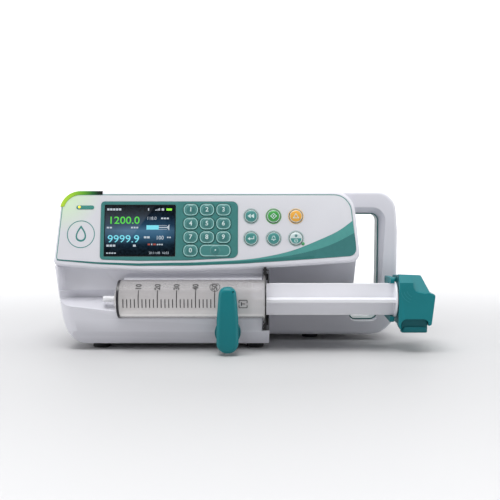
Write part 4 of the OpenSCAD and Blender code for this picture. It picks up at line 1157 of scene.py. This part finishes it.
def build_syringe():
    r, ri = 15.6, 14.35
    clear = clear_plastic()
    prof = [(ri, 19.4), (ri, -99.4), (12.6, -100.9), (1.0, -104.2), (1.0, -115), (1.8, -115), (2.1, -114.8), (2.4, -113.6), (2.4, -108.4), (1.8, -108.2), (1.8, -105.9),
            (4.6, -105.7), (9.0, -104.4), (13.0, -102.6), (14.8, -101.4), (r, -100.2), (r, 16.6), (15.9, 17.4), (16.6, 17.6), (20.0, 17.6), (20.4, 18.0), (20.4, 19.0), (20.0, 19.4)]
    v, f = lathe_x(prof, AX_Y, AX_Z, 128)
    ob = make("barrel", v, f, clear, slot="clear_syringe", replaces=["syringe_barrel"])
    white = plastic("nozzle_pp", srgb(228, 228, 232), 0.3, 0.02, 900, 0.00001)
    # solid looking nozzle: a sleeve just outside the clear one
    v, f = lathe_x([(2.45, -115.02), (2.62, -114.6), (2.62, -108.2), (2.0, -108.1), (2.0, -106.1), (2.45, -106.0)], AX_Y, AX_Z, 48)
    make("nozzle_sleeve", v, f, white, slot="clear_syringe")
    # dark edge ring at the shoulder
    v, f = lathe_x([(13.2, -102.3), (15.5, -102.2), (15.85, -101.9), (15.9, -100.9), (15.8, -100.2), (15.55, -100.1), (13.2, -101.2)], AX_Y, AX_Z, 128)
    make("shoulder_ring", v, f, print_ink("ring_black", srgb(34, 32, 38), 0.3), slot="clear_syringe")
    # scale
    ink = print_ink("scale_ink", srgb(34, 32, 34), 0.5)
    items = []
    step = 15.47 / 5
    for k in range(0, 36):
        x = -99.5 + 3.094 + (k - 1) * step + 0.0
        if x < -98.5 or x > -20:
            continue
        n5 = k % 5 == 0
        items.append((x - 0.36, x + 0.36, -19.6, 34.5 if n5 else 7.0))
    arc_strip("scale_ticks", items, r + 0.07, ink, "root", "clear_syringe")
    for k in range(1, 6):
        x = -99.5 + 3.094 + (5 * k - 1) * step
        text_mesh(f"scale_{k * 10}", str(k * 10), 6.4, on_barrel(x, 46.5, r + 0.14, True), ink, slot="clear_syringe", thick=0.18)
    x5 = -99.5 + 3.094 + 24 * step
    # ring round the last numeral
    P = on_barrel(x5, 46.5, r + 0.06, False)
    o = [P(4.3 * math.cos(2 * math.pi * i / 48), 4.5 * math.sin(2 * math.pi * i / 48)) for i in range(49)]
    q = [P(3.75 * math.cos(2 * math.pi * i / 48), 3.95 * math.sin(2 * math.pi * i / 48)) for i in range(49)]
    make("scale_ring", o + q, [(a, a + 1, 50 + a, 49 + a) for a in range(48)], ink, slot="clear_syringe", clean=False)
    # small square sign near the flange: a plain square with a bar
    P = on_barrel(0.9, -7.6, r + 0.16, False)
    so, si = rounded([(-3.6, -3.5, 0.9), (3.6, -3.5, 0.9), (3.6, 3.5, 0.9), (-3.6, 3.5, 0.9)], 4), rounded([(-2.95, -2.85, 0.5), (2.95, -2.85, 0.5), (2.95, 2.85, 0.5), (-2.95, 2.85, 0.5)], 4)
    n = len(so)
    vv = [P(*p) for p in so + [so[0]]] + [P(*p) for p in si + [si[0]]]
    make("barrel_square", vv, [(a, a + 1, n + 1 + a + 1, n + 1 + a) for a in range(n)], ink, slot="clear_syringe", clean=False)
    vv = [P(*p) for p in [(-1.7, -1.5), (-0.9, -1.5), (-0.9, -0.2), (1.6, -0.2), (1.6, 0.5), (-0.9, 0.5), (-0.9, 1.6), (-1.7, 1.6)]]
    make("barrel_sign", vv, [(0, 1, 2, 7), (2, 3, 4, 5), (5, 6, 7), (2, 5, 7)], ink, slot="clear_syringe", clean=False)


def build_holder():
    """Dark plate that holds the flange, with a toothed front edge."""
    parts = []
    z = 17.6
    while z < 67:
        if abs(z + 0.8 - AX_Z) > 16.4:
            parts.append(cube((17.3, -48.3, z), (20.2, -46.9, z + 1.7)))
            parts.append(cube((17.8, -47.7, z + 1.6), (20.0, -46.9, z + 3.0)))
        z += 2.9
    v, f = joined(parts)
    make("holder_teeth", v, f, BLACK, slot="dark_plastic", clean=False, sharp=30)
    # toothed ring on the flange
    prof = [(16.4, 18.4), (16.4, 19.62), (20.5, 19.62), (20.5, 18.4)]
    v, f = lathe_x(prof, AX_Y, AX_Z, 128)
    w = []
    for i, (x, y, z) in enumerate(v):
        dy, dz = y - AX_Y, z - AX_Z
        q = math.hypot(dy, dz)
        k = 1.0 + (0.028 if (i % 8) < 4 and q > 18 else 0.0)
        w.append((x, AX_Y + dy * k, AX_Z + dz * k))
    make("holder_ring", w, f, BLACK, slot="dark_plastic", sharp=30)


def build_clamp():
    cx = CLAMP_X
    arm = [(cx - 9, 2.0, 8.8), (cx + 9, 2.0, 8.8), (cx + 8.6, 30, 20), (cx + 6.6, 55.2, 6.0), (cx - 6.6, 55.2, 6.0), (cx - 8.6, 30, 20)]
    rings = []
    prof = [(-60.2, 0.5), (-60.7, 0.0), (-67.8, 0.0), (-68.8, 0.25), (-69.7, 0.8), (-70.4, 1.6), (-70.75, 2.4), (-70.9, 3.4)]
    for y, d in prof:
        rings.append([(x, y, z) for x, z in rounded(inset(arm, d), 10)])
    v, f = loft(rings)
    m = plastic("clamp_abs", srgb(4, 118, 125), 0.42, 0.05, 2200, 0.00002, 0.06, 0.32, spec=0.32)
    ob = make("clamp_lever", v, f, m, body="clamp_turn", slot="pusher_teal", replaces=["clamp_arm"], sharp=40)
    boolean(ob, cutter([cyl_y(cx, CLAMP_Z, 3.5, -64, -50, 48)]), deg=40)
    boolean(ob, cutter([cyl_y(cx + 4.6, 52.2, 0.7, -75, -66, 24)]), deg=40)
    # collar, turned with a light edge
    v, f = lathe_y([(3.55, -59.9), (9.8, -59.9), (10.4, -59.6), (10.6, -59.0), (10.6, -53.2), (10.1, -52.2), (5.5, -51.9), (5.5, -26), (3.55, -26)], cx, CLAMP_Z, 64)
    k = len(v) - 64
    vv, ff = v, [q for q in f if len(q) == 4]
    ff += [(k + i, k + (i + 1) % 64, (i + 1) % 64, i) for i in range(64)]
    make("clamp_collar", vv, ff, TEAL_DARK, body="clamp_slide", slot="pusher_teal", replaces=["clamp_sleeve"], sharp=30)


PUSH = [(127.2, 23.4, 2), (129.6, 18.1, 1), (148.7, 18.1, 1), (151, 22.9, 1.0), (154, 23.4, 2), (156.9, 48.8, 2.5), (152.6, 49.6, 1.0), (147.3, 64.4, 1.5), (127.2, 65.2, 1)]


PUSHB = [(130.5, 24, 2), (132.6, 18.6, 1), (148.7, 18.6, 1), (151, 22.9, 1.0), (154, 23.4, 2), (156.9, 48.8, 2.5), (152.6, 49.6, 1.0), (148.6, 60.6, 1.5), (130.5, 62, 1)]


def warp(ob, fn):
    for v in ob.data.vertices:
        v.co = Vector(fn(v.co.x * 1000, v.co.y * 1000, v.co.z * 1000)) * 0.001


def lean(x, y, z):
    """Draws the left face in and the top down towards the back."""
    q = min(max(y + 60, 0), 26)
    if x < 135 and z > 16.5:
        x += q / 26 * 3.0 * (135 - x) / 8 * (1 if z > 34 else 0.8)
    if z > 52:
        z -= q * 0.10 * (z - 52) / 13
    return x, y, z


def build_pusher():
    v, f = soft_slab(PUSH, -60, -34.1, 1.0, 0.2, 6, 4)
    ob = make("pusher_face", v, f, TEAL_BODY, body="pusher", slot="pusher_teal", replaces=["pusher_front"])
    warp(ob, lean)
    boolean(ob, cutter([prism_x([(-70, 57.9), (-61, 57.9), (-60, 58.2), (-54.6, 64.2), (-50, 72), (-70, 72)], 100, 180)]))
    # scoop on the upper right: it falls back as it rises
    poly = [(137.7, 75), (137.8, 60.0), (138.2, 54.5), (139.4, 51.2), (141.6, 49.6), (147.1, 48.6), (153, 49.1), (170, 49.3), (170, 75)]
    front = [(x, -66, z) for x, z in poly]
    back = [(x + (0.9 if x < 160 else 0), -57.6 + (z - 49) * 0.92, z + (1.2 if z < 60 else 0)) for x, z in poly]
    boolean(ob, cutter([loft([front, back])]))
    # mouth of the paddle and the room it slides in, then the hollow
    mouth = [(129.1, 7, 0.4), (151.6, 7, 0.4), (151.6, 28.6, 4.5), (129.1, 28.6, 4.5)]
    boolean(ob, cutter([loft([[(x, y, z) for x, z in rounded(mouth, 8)] for y in (-62, -57)])]))
    boolean(ob, cutter([cube((129.4, -57.3, 9), (151.45, -46, 39.5))]))
    v, f = soft_slab(inset(PUSHB, 2.6), -43.5, -30, 0, 0, 6)
    boolean(ob, cutter([(v, f)]))
    boolean(ob, cutter([cube((133.5, -50, 27), (149, -43, 50))]))
    bevel(ob, 0.5, 3, 35)
    v, f = soft_slab(PUSHB, -33.98, -8, 0.2, 1.6, 6, 4)
    ob = make("pusher_rear", v, f, TEAL_BODY, body="pusher", slot="pusher_teal", replaces=["pusher_back"])
    v, f = soft_slab(inset(PUSHB, 2.4), -40, -10.4, 0, 0, 6)
    boolean(ob, cutter([(v, f)]))
    boolean(ob, cutter([cyl_x(-16, 43, 7, 110, 143, 64)]))
    boolean(ob, cutter([cyl_x(-24, 57.2, 2.05, 110, 135, 32), cyl_x(-24, 28.8, 2.05, 110, 135, 32)]))
    for v in ob.data.vertices:
        x, y, z = v.co.x * 1000, v.co.y * 1000, v.co.z * 1000
        if z > 52:
            z -= (y + 34) * 0.09 * (z - 52) / 10
        v.co = Vector((x, y, z)) * 0.001
    bevel(ob, 0.3, 2, 40)
    # raised arcs that mark the way it moves
    ARC_INK = plastic("pusher_arc_abs", srgb(38, 138, 145), 0.4, 0.05, 2200, 0.00001, 0.05, 0.2, spec=0.3)
    for k in range(3):
        verts, faces = [], []
        for i in range(13):
            a = math.radians(196 + 54 * i / 12)
            for rr in (7.0 + 2.4 * k - 0.22, 7.0 + 2.4 * k + 0.22):
                verts.append((141.0 + rr * math.cos(a) - 1.0, -60.14, 53.5 + rr * math.sin(a)))
        faces = [(2 * i, 2 * i + 1, 2 * i + 3, 2 * i + 2) for i in range(12)]
        make(f"pusher_arc_{k}", verts, faces, ARC_INK, body="pusher", slot="pusher_teal", clean=False)
    # paddle, in the darker teal that paints its shade
    pad = [(129.8, 17.0, 1.0), (151.0, 17.0, 1.0), (151.0, 32, 1.2), (129.8, 32, 1.2)]
    v, f = soft_slab(pad, -56.9, -52, 0.8, 0.3, 6, 4)
    a = make("paddle_body", v, f, TEAL_DARK, body="paddle", slot="pusher_teal", replaces=["release_paddle"])
    lip = [(130.6, 17.2, 1.2), (150.4, 17.2, 1.2), (150.4, 22.0, 3.0), (130.6, 22.0, 3.0)]
    v, f = soft_slab(lip, -58.8, -56.8, 1.2, 0, 6, 4)
    make("paddle_lip", v, f, TEAL_DARK, body="paddle", slot="pusher_teal")


def build_plunger():
    """Cross-shaped rod with a disc at each end; rib edges are rounded."""
    x0, x1 = 7.8, 125.6
    def rib(hy, hz):
        c = rounded([(AX_Y - hy, AX_Z - hz, 0.45), (AX_Y + hy, AX_Z - hz, 0.45), (AX_Y + hy, AX_Z + hz, 0.45), (AX_Y - hy, AX_Z + hz, 0.45)], 4)
        return loft([[(x0, y, z) for y, z in c], [(x1, y, z) for y, z in c]])
    v, f = rib(1.0, 13.2)
    ob = make("plunger_ribs", v, f, PLUNGER, body="pusher", slot="plunger_white", replaces=["plunger_rod"])
    v, f = rib(13.2, 1.5)
    boolean(ob, cutter([(v, f)]), "UNION")
    v, f = lathe_x([(0, 6.8), (13.2, 6.8), (13.6, 7.2), (13.6, 8.4), (13.2, 8.8), (0, 8.8)], AX_Y, AX_Z, 96, closed=False)
    w, g = lathe_x([(0, 125.3), (14.1, 125.3), (14.5, 125.7), (14.5, 126.5), (14.1, 126.9), (0, 126.9)], AX_Y, AX_Z, 96, closed=False)
    boolean(ob, cutter([(v, f), (w, g)]), "UNION")
    bevel(ob, 0.25, 2, 45)


def build_fittings():
    """CAD nodes that are shown as they are, with their edges softened."""
    plan = {
        "battery_cover": (SHELL_LOW, 0.3), "rubber_feet": (FOOT, 0.5), "handle_trim": (TEAL_TRIM, 0), "flange_holder": (DARK, 0.4),
        "power_inlet": (BLACK, 0.4), "housing_screws": (ZINC, 0.2), "pole_clamp_inserts": (BRASS, 0.3), "clamp_bush": (ALLOY, 0.3), "clamp_shaft": (STEEL, 0.4),
        "drive_tube": (STEEL, 0.2), "carriage": (ALLOY, 0.4), "half_nut": (BRASS, 0.3), "lead_screw": (STEEL, 0.1), "motor_pinion": (STEEL, 0.2),
        "drive_motor": (BLACK, 0.6), "screw_bearings": (ALLOY, 0.2), "chassis_frame": (ZINC, 0.2), "guide_rods": (STEEL, 0.2), "main_board": (BOARD, 0.1),
        "keypad_board": (BOARD, 0.1), "power_supply": (ZINC, 0.4), "battery_pack": (CELL, 0.5), "speaker": (BLACK, 0.4), "display_module": (BLACK, 0.3),
        "plunger_stopper": (STOPPER, 0.3), "claw_upper": (TEAL_BODY, 0.5), "claw_lower": (TEAL_BODY, 0.5),
    }
    for name, (mat, w) in plan.items():
        ob = NODES[name]
        ob.data.materials.clear()
        ob.data.materials.append(mat)
        if w:
            bevel(ob, w, 2, 35, weld=True)


build_deck()
build_frames()
build_syringe()
build_holder()
build_clamp()
build_pusher()
build_plunger()
build_fittings()
